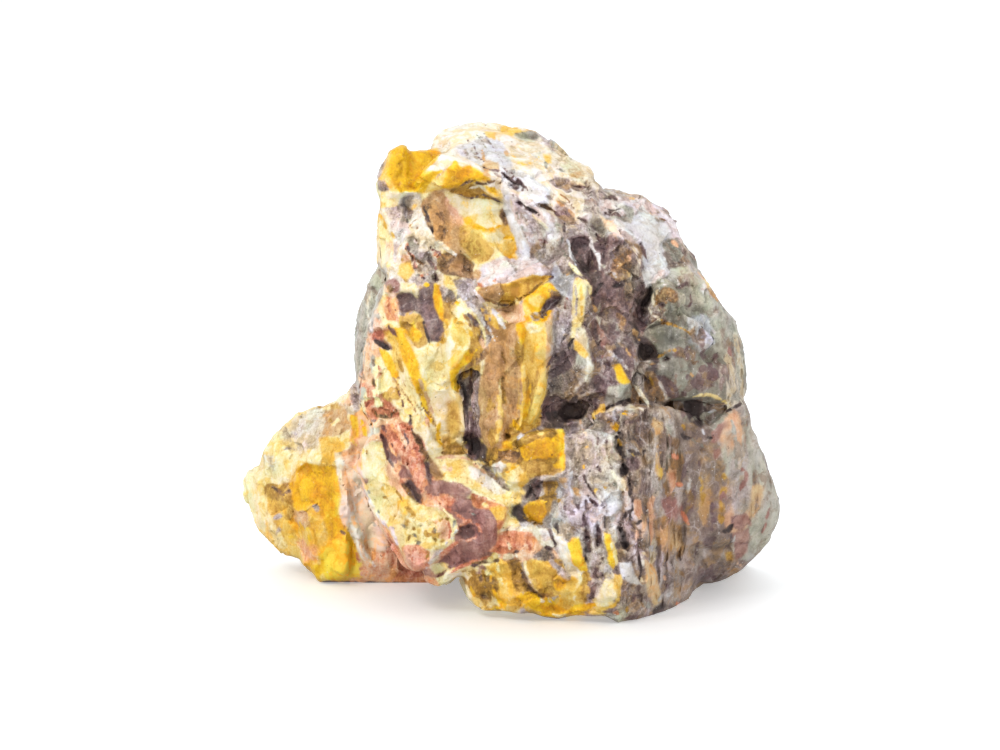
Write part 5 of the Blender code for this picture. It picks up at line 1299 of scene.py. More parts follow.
def facets(points, size, seed):
    """The height, from about -1 to 1, of a surface broken into flat tilted chips."""
    places = points / size
    cells = np.floor(places)
    nearest = np.full(len(points), FAR)
    height = np.zeros(len(points))
    for offset in np.ndindex(3, 3, 3):
        cell = cells + np.array(offset) - 1
        seat = cell + np.stack([hashed(cell, seed + axis) for axis in range(3)], axis=1)
        tilt = np.stack([hashed(cell, seed + TILT_SEED + axis) for axis in range(3)], axis=1) - 0.5
        away = places - seat
        distance = (away * away).sum(axis=1)
        closer = distance < nearest
        nearest = np.where(closer, distance, nearest)
        chip = (away * tilt).sum(axis=1) * 2 + hashed(cell, seed + HEIGHT_SEED) - 0.5
        height = np.where(closer, chip, height)
    return height


# ---------------------------------------------------------------- the station


def station():
    """The eye's place, and its forward and upward directions."""
    forward = Vector((0, math.cos(STATION_ELEVATION), -math.sin(STATION_ELEVATION)))
    upward = Vector((0, math.sin(STATION_ELEVATION), math.cos(STATION_ELEVATION)))
    return STATION_AIM - forward * STATION_DISTANCE, forward, upward


def sighted(points):
    """Where each point stands in the station's frame."""
    eye, forward, upward = (np.array(part) for part in station())
    away = points - eye
    scale = STATION_DISTANCE / (away @ forward) / STATION_STEP
    across = STATION_WIDE / 2 + away[:, 0] * scale
    down = STATION_HIGH / 2 - (away @ upward) * scale
    return np.stack([across, down], axis=1)


# ---------------------------------------------------------------- mesh helpers


def select_only(piece):
    bpy.ops.object.select_all(action="DESELECT")
    piece.select_set(True)
    bpy.context.view_layer.objects.active = piece


def apply_modifier(piece, kind, **settings):
    """Adds a modifier, sets it and applies it."""
    select_only(piece)
    modifier = piece.modifiers.new(kind.lower(), kind)
    for name, value in settings.items():
        setattr(modifier, name, value)
    bpy.ops.object.modifier_apply(modifier=modifier.name)


def places_of(mesh):
    places = np.empty(len(mesh.vertices) * 3, np.float32)
    mesh.vertices.foreach_get("co", places)
    return places.reshape(-1, 3).astype(np.float64)


def move_to(mesh, places):
    mesh.vertices.foreach_set("co", places.astype(np.float32).ravel())
    mesh.update()


def triangles_of(mesh):
    mesh.calc_loop_triangles()
    corners = np.empty(len(mesh.loop_triangles) * 3, np.int32)
    mesh.loop_triangles.foreach_get("vertices", corners)
    return corners.reshape(-1, 3)


def outward(places, corners):
    """The outward direction at each vertex, summed in a fixed order so that every run agrees."""
    first, second, third = places[corners].transpose(1, 0, 2)
    across = np.cross(second - first, third - first)
    directions = np.zeros_like(places)
    for axis in range(3):
        for corner in range(3):
            directions[:, axis] += np.bincount(corners[:, corner], across[:, axis], len(places))
    return directions / np.maximum(np.linalg.norm(directions, axis=1, keepdims=True), NO_LENGTH)


def seen_from_station(places, corners):
    """How far each vertex is behind the first thing that the station's eye meets on the way to it."""
    eye = station()[0]
    tree = BVHTree.FromPolygons(places.tolist(), corners.tolist())
    behind = np.zeros(len(places))
    for index, place in enumerate(places):
        ray = Vector(place) - eye
        length = ray.length
        hit = tree.ray_cast(eye, ray, length)
        if hit[0] is not None:
            behind[index] = length - hit[3]
    return behind


# ---------------------------------------------------------------- drawing on the stone


def distance_to_side(places, start, end):
    """The distance from each place to the side."""
    along = end - start
    share = np.clip(((places - start) @ along) / max(along @ along, TINY), 0, 1)
    return np.linalg.norm(places - start - share[:, None] * along, axis=1)


def depth_inside(places, outline):
    """How far each place is inside the outline, or outside it where that is below zero."""
    inside = np.zeros(len(places), bool)
    edge = np.full(len(places), FAR)
    x, y = places.T
    for start, end in zip(outline, np.roll(outline, -1, axis=0)):
        crosses = (start[1] > y) != (end[1] > y)
        rise = end[1] - start[1]
        at = start[0] + (y - start[1]) * (end[0] - start[0]) / (rise if rise else TINY)
        inside ^= crosses & (x < at)
        edge = np.minimum(edge, distance_to_side(places, start, end))
    return np.where(inside, edge, -edge)


def near(places, corners, margin):
    """Which places are in the corners' box, with a margin."""
    low, high = corners.min(axis=0) - margin, corners.max(axis=0) + margin
    return np.flatnonzero(((places > low) & (places < high)).all(axis=1))


def along_line(places, line):
    """(distance to the line, share of the way along it), for each place."""
    lengths = np.linalg.norm(np.diff(line, axis=0), axis=1)
    walked = np.concatenate([[0], np.cumsum(lengths)])
    distance = np.full(len(places), FAR)
    share = np.zeros(len(places))
    for start, end, before, length in zip(line, line[1:], walked, lengths):
        to_side = distance_to_side(places, start, end)
        reached = np.clip(((places - start) @ (end - start)) / max(length, TINY), 0, length)
        closer = to_side < distance
        distance = np.where(closer, to_side, distance)
        share = np.where(closer, (before + reached) / walked[-1], share)
    return distance, share


def blotches(points):
    """How each way of lying spreads over the points, from 0 to 1."""
    spread = {"solid": np.ones(len(points))}
    for seed, (name, (size, share, soft, _)) in enumerate(LIES.items()):
        stretched = points * (1, 1, STREAK_STRETCH) if name == "streaked" else points
        noise = rough_noise(stretched, size, BLOTCH_SEED + seed, 3)
        spread[name] = np.clip(0.5 + (noise - (0.5 - share) * BLOTCH_CONTRAST) / soft, 0, 1)
    return spread


def drawn(points, places):
    """(each mineral's share, how light it is, how deep it is carved) at points seen at those places."""
    shares = np.zeros((len(places), len(MINERALS)))
    shares[:, MINERAL_NAMES.index("ash")] = 1.0
    tone = np.zeros(len(places))
    depth = np.zeros(len(places))
    spread = blotches(points)
    breaks = rough_noise(points, STROKE_BREAKS, STROKE_BREAKS_SEED, 2)
    broken = np.clip(STROKE_WHOLE + STROKE_UNEVEN * breaks, 0, 1)

    def lay(where, mineral, light, deep, cover):
        shares[where] *= (1 - cover)[:, None]
        shares[where, MINERAL_NAMES.index(mineral)] += cover
        tone[where] = tone[where] * (1 - cover) + tenths(light) * cover
        depth[where] += tenths(deep) * MM * cover

    for number, ((_, mineral, light, *more), outline) in enumerate(entries(PATCHES)):
        lies = more.pop(0) if more and more[0] in LIES else "solid"
        deep = more[0] if more else 0
        edge = LIES[lies][3] if lies in LIES else EDGE
        where = near(places, outline, edge)
        inside = depth_inside(places[where], outline)
        cover = np.clip(0.5 + inside / edge, 0, 1) * spread[lies][where]
        lay(where, mineral, light, deep, cover)
        heading = LEAN_TURN * number
        reach = min(0.5 * np.ptp(outline, axis=0).mean(), LEAN_REACH)
        across = (places[where] - outline.mean(axis=0)) @ (math.cos(heading), math.sin(heading))
        depth[where] += LEAN * STATION_STEP * np.clip(across, -reach, reach) * cover
    for (_, mineral, light, wide, deep), line in entries(STROKES):
        where = near(places, line, float(wide))
        distance, share = along_line(places[where], line)
        narrowed = float(wide) * (STROKE_ENDS + (1 - STROKE_ENDS) * np.sqrt(np.sin(np.pi * share)))
        cover = np.clip(1 - distance / (STROKE_BODY * narrowed), 0, 1) * broken[where]
        lay(where, mineral, light, deep, cover)
    return shares, tone, depth


# Bands of the stone's body, where no drawing reaches: (mineral, thickness in millimetres)
LEFT_BANDS = [("cream", 4), ("gold", 3), ("honey", 4), ("brick", 2), ("pale", 3), ("tan", 4), ("maroon", 2),
              ("gold", 2), ("cream", 5), ("plum", 1.5), ("ash", 3)]
RIGHT_BANDS = [("mauve", 5), ("plum", 2), ("ash", 4), ("slate", 5), ("rust", 1.5), ("mauve", 3),
               ("chalk", 1), ("plum", 3), ("slate", 3), ("maroon", 2)]
BAND_TILT = np.array([0.80, 0.25, 0.55])
BAND_EDGE = 0.001
PARTING = 0.004  # how far right of the middle the dark side starts, and how softly
PARTING_SOFT = 0.004
# How the parting and the bands wander, break, and vary in tone: (height, size, seed)
PARTING_WANDER = (0.006, 0.012, 71)
BAND_WANDERS = [(0.006, 0.016, 72), (0.003, 0.004, 73)]
BAND_BREAKS = [(0.006, 0.011, 74), (0.002, 0.004, 75)]
FRONT_WANDER = (0.003, 0.006, 83)
BODY_TONE = (0.7, 0.007, 84)
FRONT_ENDS = 1.5  # what is drawn fades from half the front's reach to this many times it


def wander(points, height, size, seed, noise=rough_noise):
    """How far something strays at each point."""
    return height * noise(points, size, seed)


def body_minerals(points):
    """Each mineral's share where no drawing reaches: bands, warm on the left and dark on the right."""
    weights = np.zeros((len(points), len(MINERALS)))
    past = points[:, 0] - PARTING + wander(points, *PARTING_WANDER)
    right = np.clip(0.5 + past / PARTING_SOFT, 0, 1)
    along = points @ BAND_TILT
    for band_wander in BAND_WANDERS:
        along += wander(points, *band_wander)
    along += sum(wander(points, *band_break, facets) for band_break in BAND_BREAKS)
    for bands, share in ((LEFT_BANDS, 1 - right), (RIGHT_BANDS, right)):
        thick = np.array([band[1] * MM for band in bands])
        starts = np.concatenate([[0], np.cumsum(thick)])
        at = np.mod(along, starts[-1])
        for (mineral, _), start, end in zip(bands, starts, starts[1:]):
            cover = np.clip((at - start) / BAND_EDGE, 0, 1) * np.clip(1 - (at - end) / BAND_EDGE, 0, 1)
            cover = np.where((at > start) & (at < end + BAND_EDGE), cover, 0)
            weights[:, MINERAL_NAMES.index(mineral)] += share * cover
    return weights / np.maximum(weights.sum(axis=1, keepdims=True), TINY)


def minerals_at(points, corners):
    """(each mineral's share, how light, how deep carved and how far hidden it is) at each point."""
    behind = seen_from_station(points, corners)
    seen = np.flatnonzero(behind < SEEN_SLACK)
    tree = KDTree(len(seen))
    for index in seen:
        tree.insert(points[index], int(index))
    tree.balance()
    away = np.zeros(len(points))
    for index in np.flatnonzero(behind >= SEEN_SLACK):
        away[index] = tree.find(points[index])[2]
    warp = np.stack([rough_noise(points, WARP_SIZE, seed, 2) for seed in WARP_SEEDS], axis=1)
    shares, tone, depth = drawn(points, sighted(points) + WARP_STEPS * warp)
    reach = np.clip(FRONT_ENDS - (away + wander(points, *FRONT_WANDER)) / FRONT_REACH, 0, 1)
    shares = shares * reach[:, None] + body_minerals(points) * (1 - reach)[:, None]
    tone = tone * reach + wander(points, *BODY_TONE) * (1 - reach)
    return shares, tone, depth * np.clip(1 - behind / CARVE_FADE, 0, 1), behind


def filled(points):
    """How far each point comes towards the station, to lie near the bed of its hollow."""
    places = sighted(points)
    distance = np.linalg.norm(points - np.array(station()[0]), axis=1)
    comes = np.zeros(len(points))
    for (_, before), outline in entries(HOLLOWS):
        where = near(places, outline, HOLLOW_EDGE)
        cover = np.clip(0.5 + depth_inside(places[where], outline) / HOLLOW_EDGE, 0, 1)
        past = np.maximum(distance[where] - (STATION_DISTANCE - float(before) * MM), 0)
        comes[where] = comes[where] * (1 - cover) + HOLLOW_TAKES * past * cover
    return comes


# ---------------------------------------------------------------- the stone


def crumbliness(points, shares):
    """How much the skin crumbles at each point, which is less where the right flank's foot is worn."""
    across = np.clip((points[:, 0] - WORN_FROM) / WORN_WIDE, 0, 1)
    below = np.clip((WORN_TOP - points[:, 2]) / WORN_FADE, 0, 1)
    crumble = np.array([mineral.crumble for mineral in MINERALS.values()])
    return shares @ crumble * (1 - WORN * across * below)


def fine_skin():
    """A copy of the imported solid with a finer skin."""
    select_only(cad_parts["jasper"])
    bpy.ops.object.duplicate()
    stone = bpy.context.view_layer.objects.active
    stone.name = "jasper_stone"
    for key in list(stone.keys()):
        del stone[key]
    stone.parent = None
    bpy.ops.object.mode_set(mode="EDIT")
    bpy.ops.mesh.select_all(action="SELECT")
    bpy.ops.mesh.remove_doubles(threshold=WELD)
    bpy.ops.object.mode_set(mode="OBJECT")
    stone.data.materials.clear()
    apply_modifier(stone, "REMESH", mode="VOXEL", voxel_size=SKIN_VOXEL, use_smooth_shade=False)
    return stone


def break_up(stone):
    """Carves what is drawn, and crumbles each mineral in its own way."""
    mesh = stone.data
    points = places_of(mesh)
    corners = triangles_of(mesh)
    shares, _, depth, behind = minerals_at(points, corners)
    crumble = crumbliness(points, shares)
    height = sum(
        high * (facets if kind == "chips" else rough_noise)(points, size, seed)
        for seed, (kind, size, high) in enumerate(CRUMBLING, start=CRUMBLING_SEED)
    )
    free = np.clip((points[:, 2] - SOLE_HEIGHT) / SOLE_FADE, 0, 1)
    rays = points - np.array(station()[0])
    rays /= np.linalg.norm(rays, axis=1, keepdims=True)
    outwards = outward(points, corners)
    reach = np.where((outwards * rays).sum(axis=1) < HOLLOW_TURN, HOLLOW_REACH, HOLLOW_FADE)
    depth -= filled(points) * np.clip(2 - 2 * behind / reach, 0, 1)
    moved = points + outwards * (height * crumble * free)[:, None] + rays * (depth * free)[:, None]
    moved[:, 2] = np.maximum(moved[:, 2], np.minimum(points[:, 2], SOLE_HEIGHT))
    move_to(mesh, moved)
    return behind


def thin_skin(stone, behind):
    """Thins the skin, least where the station sees it. Millimetres suit the thinning."""
    group = stone.vertex_groups.new(name="front")
    group.add([int(i) for i in np.flatnonzero(behind < SEEN_SLACK)], 1.0, "REPLACE")
    stone.data.transform(Matrix.Scale(1 / MM, 4))
    count = len(triangles_of(stone.data))
    apply_modifier(stone, "DECIMATE", ratio=SKIN_TRIANGLES / count, use_collapse_triangulate=True,
                   vertex_group="front", invert_vertex_group=True, vertex_group_factor=FRONT_KEEPS)
    stone.data.transform(Matrix.Scale(MM, 4))
    stone.vertex_groups.clear()


def averaged(values, edges, rounds):
    """Values averaged with their neighbours along the edges, that many times over."""
    count = np.bincount(edges.ravel(), minlength=len(values))[:, None] + 1
    for _ in range(rounds):
        total = values.copy()
        for axis in range(values.shape[1]):
            total[:, axis] += np.bincount(edges[:, 0], values[edges[:, 1], axis], len(values))
            total[:, axis] += np.bincount(edges[:, 1], values[edges[:, 0], axis], len(values))
        values = total / count
    return values


def edge_wear_and_crevice_shade(mesh, points, corners):
    """How much each point stands proud, or lies in a crevice where that is below zero, from -1 to 1."""
    edges = np.empty(len(mesh.edges) * 2, np.int32)
    mesh.edges.foreach_get("vertices", edges)
    edges = edges.reshape(-1, 2)
    outwards = outward(points, corners)
    proud = np.zeros(len(points))
    smoothed = points
    for rounds, height in WEAR_AND_SHADE_SCALES:
        smoothed = averaged(smoothed, edges, rounds)
        proud += np.clip(((points - smoothed) * outwards).sum(axis=1) / height, -1, 1)
    return proud / len(WEAR_AND_SHADE_SCALES)


def paint(stone):
    """Writes each mineral's share on the skin, how light it is, and how much it stands proud."""
    mesh = stone.data
    points = places_of(mesh)
    corners = triangles_of(mesh)
    shares, tone, _, _ = minerals_at(points, corners)
    marks = dict(zip(MINERAL_NAMES, shares.T))
    marks["tone"] = tone
    # How proud or sunken each point is; the finish makes proud edges lighter, as wear and painted highlight,
    # and crevices darker, as painted shade
    marks["edge_wear_and_crevice_shade"] = edge_wear_and_crevice_shade(mesh, points, corners)
    marks["crumble"] = crumbliness(points, shares)
    for trait in ("stained", "specked", "veined", "pitted", "roughness"):
        marks[trait] = shares @ np.array([getattr(mineral, trait) for mineral in MINERALS.values()])
    for name, values in marks.items():
        attribute = mesh.attributes.new(name, "FLOAT", "POINT")
        attribute.data.foreach_set("value", values.astype(np.float32))


# ---------------------------------------------------------------- the finish


def linear(tone):
    """A screen tone of 0 to 255 a channel, as light, by the standard screen curve."""
    shares = [channel / 255 for channel in tone]
    return tuple(s / 12.92 if s <= 0.04045 else ((s + 0.055) / 1.055) ** 2.4 for s in shares) + (1.0,)


class Nodes:
    """A material's nodes, with short calls for the few kinds that are used."""

    def __init__(self, name):
        self.material = bpy.data.materials.new(name)
        self.material.use_nodes = True
        self.tree = self.material.node_tree
        self.shader = self.tree.nodes["Principled BSDF"]

    def put(self, socket, value):
        if isinstance(value, bpy.types.NodeSocket):
            self.tree.links.new(value, socket)
        else:
            socket.default_value = value

    def math(self, operation, *values, clamp=False):
        node = self.tree.nodes.new("ShaderNodeMath")
        node.operation = operation
        node.use_clamp = clamp
        for socket, value in zip(node.inputs, values):
            self.put(socket, value)
        return node.outputs[0]

    def ramp(self, value, steep, start):
        return self.math("MULTIPLY_ADD", value, steep, start, clamp=True)

    def centred(self, value):
        return self.math("SUBTRACT", value, 0.5)

    def more(self, value, trait, by):
        return self.math("ADD", value, self.math("MULTIPLY", trait, by))

    def vector(self, operation, first, second):
        node = self.tree.nodes.new("ShaderNodeVectorMath")
        node.operation = operation
        self.put(node.inputs[0], first)
        self.put(node.inputs["Scale"] if operation == "SCALE" else node.inputs[1], second)
        return node.outputs[0]

    def noise(self, where, size, detail=4.0, rough=0.55, distortion=0.0):
        node = self.tree.nodes.new("ShaderNodeTexNoise")
        self.put(node.inputs["Vector"], where)
        node.inputs["Scale"].default_value = 1 / size
        node.inputs["Detail"].default_value = detail
        node.inputs["Roughness"].default_value = rough
        node.inputs["Distortion"].default_value = distortion
        return node

    def cells(self, where, size, feature="F1"):
        node = self.tree.nodes.new("ShaderNodeTexVoronoi")
        node.feature = feature
        self.put(node.inputs["Vector"], where)
        node.inputs["Scale"].default_value = 1 / size
        return node

    def mix(self, share, first, second):
        node = self.tree.nodes.new("ShaderNodeMix")
        node.data_type = "VECTOR"
        for name, value in (("Factor", share), (4, first), (5, second)):
            self.put(node.inputs[name], value)
        return node.outputs[1]

    def split(self, value):
        node = self.tree.nodes.new("ShaderNodeSeparateXYZ")
        self.put(node.inputs[0], value)
        return node.outputs

    def plus(self, total, part):
        return part if total is None else self.math("ADD", total, part)

    def vector_plus(self, total, part):
        return part if total is None else self.vector("ADD", total, part)

    def share(self, name):
        node = self.tree.nodes.new("ShaderNodeAttribute")
        node.attribute_name = name
        return node.outputs["Fac"]


# The finish's noises: (size in metres, detail, roughness, distortion), and how they are stretched
RAGGED = (0.0008, 4.0, 0.7)
BEND = (0.0030, 3.0)
BEND_REACH = 0.0022
MOTTLE = (0.0034, 6.0, 0.62, 0.4)
STREAK = (0.0011, 4.0, 0.6)
STREAK_ALONG = (1.0, 1.0, 0.2)
GRAIN = (0.00034, 3.0, 0.6)
STAIN = (0.0024, 5.0, 0.62, 0.6)
CHIP_SIZE = 0.0015
SPLINTER = (0.0006, 3.0, 0.7)
SPLINTER_ALONG = (1.0, 1.0, 0.35)
DRIFTING = (0.0036, 4.0, 0.6)
DRIFT_ALONG = (1.0, 1.0, 0.45)
FLECK = (0.0006, 2.0, 0.7)
PIT = (0.00075, 2.0, 0.7)
SEAM_SIZE = 0.0034
SEAM_WIDE = 0.05
DRIFT = (0.55, 0.42, 0.95)  # how far the tone drifts in red, green and blue
HALVES = (0.5, 0.5, 0.5)
ONES = (1.0, 1.0, 1.0)

# How much each of them, what is drawn, and standing proud lighten a place. The chips' share stands in for
# broken facets catching the light, what is drawn carries painted shade and light, and standing proud
# lightens edges, as wear and as a painted highlight, and darkens crevices as painted shade
MOTTLE_LIGHT = 1.2
STREAK_LIGHT = 0.9
GRAIN_LIGHT = 1.35
SPLINTER_LIGHT = 1.7
CHIP_LIGHT = 0.35
DRAWN_LIGHT = 0.5
WEAR_AND_SHADE_LIGHT = 0.38

# Ramps: (how steep, what they start from)
RAGGED_RAMP = (2.6, -0.35)
BUSY_RAMP = (1.3, 0.2)
STAIN_RAMP = (9.0, -5.6)
SHADE_RAMP = (0.9, 0.55)
FLECK_RAMP = (14.0, -9.9)
PATCHY_RAMP = (6.0, -2.8)
PIT_RAMP = (16.0, -11.3)

# How much more there is where a mineral is stained, specked or pitted, and how much each one shows
STAINED_MORE = 0.35
SPECKED_MORE = 0.12
PITTED_MORE = 0.10
STAINS_SHOW = 0.8
FLECKS_SHOW = 0.75
SEAMS_SHOW = 1.5
PITS_DARKEN = -0.62
FLECK_TONE = (232, 224, 218)
SEAM_TONE = (222, 210, 206)
SHINE = 0.2
BUMP = 0.6
BUMP_HEIGHT = 0.00035
GRAIN_BUMP = 0.5
CHIP_BUMP = 0.6
STREAK_BUMP = 0.4


def jasper_finish():
    """The minerals' tones, stains, flecks and veins, each in its share."""
    nodes = Nodes("banded_jasper")
    place = nodes.tree.nodes.new("ShaderNodeTexCoord").outputs["Object"]
    ragged = nodes.split(nodes.noise(place, *RAGGED).outputs["Color"])
    bend = nodes.noise(place, *BEND).outputs["Color"]
    bent = nodes.vector("ADD", place, nodes.vector("SCALE", bend, BEND_REACH))
    mottle = nodes.noise(place, *MOTTLE).outputs["Fac"]
    streak = nodes.noise(nodes.vector("MULTIPLY", place, STREAK_ALONG), *STREAK).outputs["Fac"]
    grain = nodes.noise(place, *GRAIN).outputs["Fac"]
    stain = nodes.noise(bent, *STAIN).outputs["Fac"]
    chip = nodes.split(nodes.cells(bent, CHIP_SIZE).outputs["Color"])[0]

    # Each mineral's share, made ragged and sharp where two meet
    whole, sums = None, {}
    for index, (name, mineral) in enumerate(MINERALS.items()):
        share = nodes.math("MULTIPLY", nodes.share(name), nodes.ramp(ragged[index % 3], *RAGGED_RAMP))
        share = nodes.math("POWER", share, SHARPNESS)
        whole = nodes.plus(whole, share)
        tones = zip(("dark", "middle", "light", "stain"), mineral[:4])
        for part, tone in tones:
            sums[part] = nodes.vector_plus(sums.get(part), nodes.vector("SCALE", linear(tone)[:3], share))
    evened = nodes.math("DIVIDE", 1.0, nodes.math("MAXIMUM", whole, TINY))
    sums = {part: nodes.vector("SCALE", total, evened) for part, total in sums.items()}
    stained = nodes.share("stained")
    specked = nodes.share("specked")
    veined = nodes.share("veined")
    pitted = nodes.share("pitted")
    crumbly = nodes.share("crumble")

    # How light each place is: mottling, streaks, grain and chips, what is drawn, and standing proud. The
    # chips, what is drawn and standing proud paint light and shade too: facets catching the light, shaded
    # and lit faces, lighter edges as wear and highlight, and shaded crevices
    busy = nodes.math("MULTIPLY_ADD", crumbly, *BUSY_RAMP)
    light = nodes.math("MULTIPLY", nodes.centred(mottle), MOTTLE_LIGHT)
    light = nodes.math("MULTIPLY_ADD", nodes.centred(streak), STREAK_LIGHT, light)
    light = nodes.math("MULTIPLY_ADD", nodes.centred(grain), GRAIN_LIGHT, light)
    light = nodes.math("MULTIPLY", light, busy)
    splinter = nodes.noise(nodes.vector("MULTIPLY", place, SPLINTER_ALONG), *SPLINTER).outputs["Fac"]
    splinters = nodes.math("MULTIPLY", nodes.centred(splinter), crumbly)
    light = nodes.math("MULTIPLY_ADD", splinters, SPLINTER_LIGHT, light)
    # Each chip a little lighter or darker: a painted stand-in for broken facets catching the light; the
    # chips also make part of the bump
    rough_chip = nodes.math("MULTIPLY", nodes.centred(chip), crumbly)
    light = nodes.math("MULTIPLY_ADD", rough_chip, CHIP_LIGHT, light)
    light = nodes.math("MULTIPLY_ADD", nodes.share("tone"), DRAWN_LIGHT, light)
    # Proud edges lighter, as wear and as a painted highlight; crevices darker, as painted shade
    proud = nodes.share("edge_wear_and_crevice_shade")
    light = nodes.math("MULTIPLY_ADD", proud, nodes.math("MULTIPLY", crumbly, WEAR_AND_SHADE_LIGHT), light)
    light = nodes.math("ADD", light, 0.5, clamp=True)
    lower = nodes.mix(nodes.math("MULTIPLY", light, 2.0, clamp=True), sums["dark"], sums["middle"])
    upper = nodes.math("MULTIPLY_ADD", light, 2.0, -1.0, clamp=True)
    colour = nodes.mix(upper, lower, sums["light"])

    # Drifts of warmer, greener and bluer tone
    drift = nodes.noise(nodes.vector("MULTIPLY", bent, DRIFT_ALONG), *DRIFTING).outputs["Color"]
    drift = nodes.vector("MULTIPLY", nodes.vector("SUBTRACT", drift, HALVES), DRIFT)
    drift = nodes.vector("ADD", nodes.vector("SCALE", drift, busy), ONES)
    colour = nodes.vector("MULTIPLY", colour, drift)

    # Stains, white specks, pale veins and dark pits
    stains = nodes.ramp(nodes.more(stain, stained, STAINED_MORE), *STAIN_RAMP)
    shade = nodes.math("MULTIPLY_ADD", light, *SHADE_RAMP)
    shown = nodes.math("MULTIPLY", stains, STAINS_SHOW)
    colour = nodes.mix(shown, colour, nodes.vector("SCALE", sums["stain"], shade))
    fleck = nodes.noise(bent, *FLECK).outputs["Fac"]
    flecks = nodes.ramp(nodes.more(fleck, specked, SPECKED_MORE), *FLECK_RAMP)
    colour = nodes.mix(nodes.math("MULTIPLY", flecks, FLECKS_SHOW), colour, linear(FLECK_TONE)[:3])
    seam = nodes.cells(bent, SEAM_SIZE, "DISTANCE_TO_EDGE").outputs["Distance"]
    seams = nodes.math("SUBTRACT", 1.0, nodes.math("DIVIDE", seam, SEAM_WIDE), clamp=True)
    patchy = nodes.ramp(mottle, *PATCHY_RAMP)
    seams = nodes.math("MULTIPLY", nodes.math("MULTIPLY", seams, patchy), veined)
    colour = nodes.mix(nodes.math("MULTIPLY", seams, SEAMS_SHOW, clamp=True), colour, linear(SEAM_TONE)[:3])
    pit = nodes.noise(place, *PIT).outputs["Fac"]
    pits = nodes.ramp(nodes.more(pit, pitted, PITTED_MORE), *PIT_RAMP)
    dimming = nodes.math("MULTIPLY_ADD", pits, PITS_DARKEN * STONE_DEPTH, STONE_DEPTH)
    nodes.put(nodes.shader.inputs["Base Color"], nodes.vector("SCALE", colour, dimming))
    nodes.put(nodes.shader.inputs["Roughness"], nodes.share("roughness"))
    nodes.shader.inputs["Specular IOR Level"].default_value = SHINE

    bump = nodes.tree.nodes.new("ShaderNodeBump")
    bump.inputs["Strength"].default_value = BUMP
    bump.inputs["Distance"].default_value = BUMP_HEIGHT
    relief = nodes.math("MULTIPLY_ADD", grain, GRAIN_BUMP, nodes.math("MULTIPLY", rough_chip, CHIP_BUMP))
    relief = nodes.math("MULTIPLY_ADD", streak, STREAK_BUMP, relief)
    nodes.put(bump.inputs["Height"], relief)
    nodes.put(nodes.shader.inputs["Normal"], bump.outputs[0])
    return nodes.material


# ---------------------------------------------------------------- the studio

FLOOR_HALF = 1.2
FLOOR_RISE = 0.9
FLOOR_BEND = 0.35
FLOOR_BEND_STEPS = 12
ON_THE_GROUND = 0.01
PAPER = (0.88, 0.90, 0.92, 1)
PAPER_ROUGHNESS = 0.9
PAPER_SHINE = 0.1
PAPER_GLOW = 0.36
WHITE = (1.0, 1.0, 1.0)
ROOM_LIGHT = 1.12
# The lamps: (name, place and size in metres, watts)
LAMPS = [
    ("key", (-0.46, -0.42, 0.80), 0.36, 9.8),
    ("fill", (0.85, -0.5, 0.45), 0.8, 5.5),
    ("bounce", (-0.32, -0.75, 0.05), 0.5, 2.6),
]
CLOSEST_SEEN = 0.01


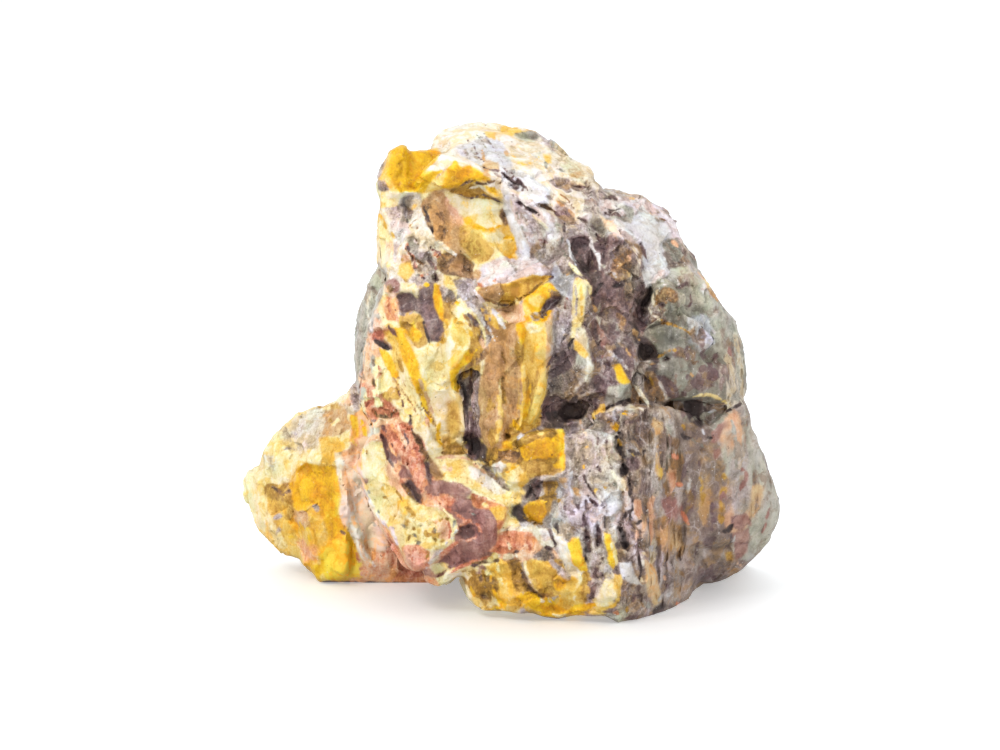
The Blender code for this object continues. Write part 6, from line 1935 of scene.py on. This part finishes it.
def studio_floor():
    """A pale sheet that runs back under the stone and curves up behind it."""
    bpy.ops.mesh.primitive_plane_add(size=2 * FLOOR_HALF, location=(0, 0, 0))
    floor = bpy.context.view_layer.objects.active
    floor.name = "studio_floor"
    bpy.ops.object.mode_set(mode="EDIT")
    bpy.ops.mesh.select_all(action="DESELECT")
    bpy.ops.object.mode_set(mode="OBJECT")
    for edge in floor.data.edges:
        edge.select = all(floor.data.vertices[i].co.y > 0 for i in edge.vertices)
    bpy.ops.object.mode_set(mode="EDIT")
    bpy.ops.mesh.extrude_region_move(TRANSFORM_OT_translate={"value": (0, 0, FLOOR_RISE)})
    bpy.ops.object.mode_set(mode="OBJECT")
    for edge in floor.data.edges:
        ends = [floor.data.vertices[i].co for i in edge.vertices]
        edge.select = all(end.y > 0 and end.z < ON_THE_GROUND for end in ends)
    bpy.ops.object.mode_set(mode="EDIT")
    bpy.ops.mesh.bevel(offset=FLOOR_BEND, segments=FLOOR_BEND_STEPS)
    bpy.ops.mesh.normals_make_consistent(inside=False)
    bpy.ops.object.mode_set(mode="OBJECT")
    bpy.ops.object.shade_smooth()
    nodes = Nodes("studio_paper")
    nodes.shader.inputs["Base Color"].default_value = PAPER
    nodes.shader.inputs["Roughness"].default_value = PAPER_ROUGHNESS
    nodes.shader.inputs["Specular IOR Level"].default_value = PAPER_SHINE
    nodes.shader.inputs["Emission Color"].default_value = (*WHITE, 1)
    nodes.shader.inputs["Emission Strength"].default_value = PAPER_GLOW
    floor.data.materials.append(nodes.material)


def lamp(name, place, size, watts):
    """A square lamp that faces the stone."""
    bpy.ops.object.light_add(type="AREA", location=place)
    light = bpy.context.view_layer.objects.active
    light.name = name
    light.data.size = size
    light.data.energy = watts
    light.data.color = WHITE
    light.rotation_euler = (STATION_AIM - Vector(place)).to_track_quat("-Z", "Y").to_euler()


def studio():
    world = bpy.data.worlds.new("bright_room")
    bpy.context.scene.world = world
    world.use_nodes = True
    background = world.node_tree.nodes["Background"]
    background.inputs["Color"].default_value = (*WHITE, 1)
    background.inputs["Strength"].default_value = ROOM_LIGHT
    for name, place, size, watts in LAMPS:
        lamp(name, place, size, watts)
    studio_floor()
    bpy.context.scene.view_settings.view_transform = "Standard"


def camera():
    eye, forward, _ = station()
    bpy.ops.object.camera_add(location=eye)
    seer = bpy.context.view_layer.objects.active
    seer.name = "station_camera"
    seer.rotation_euler = forward.to_track_quat("-Z", "Y").to_euler()
    seer.data.sensor_width = SENSOR
    seer.data.lens = SENSOR * STATION_DISTANCE / (STATION_WIDE * STATION_STEP)
    seer.data.clip_start = CLOSEST_SEEN
    bpy.context.scene.camera = seer


def jasper():
    stone = fine_skin()
    behind = break_up(stone)
    thin_skin(stone, behind)
    paint(stone)
    stone.data.materials.append(jasper_finish())
    select_only(stone)
    bpy.ops.object.shade_smooth_by_angle(angle=SHARP_CREASE)
    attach(stone, "root")
    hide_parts("jasper")


jasper()
studio()
camera()
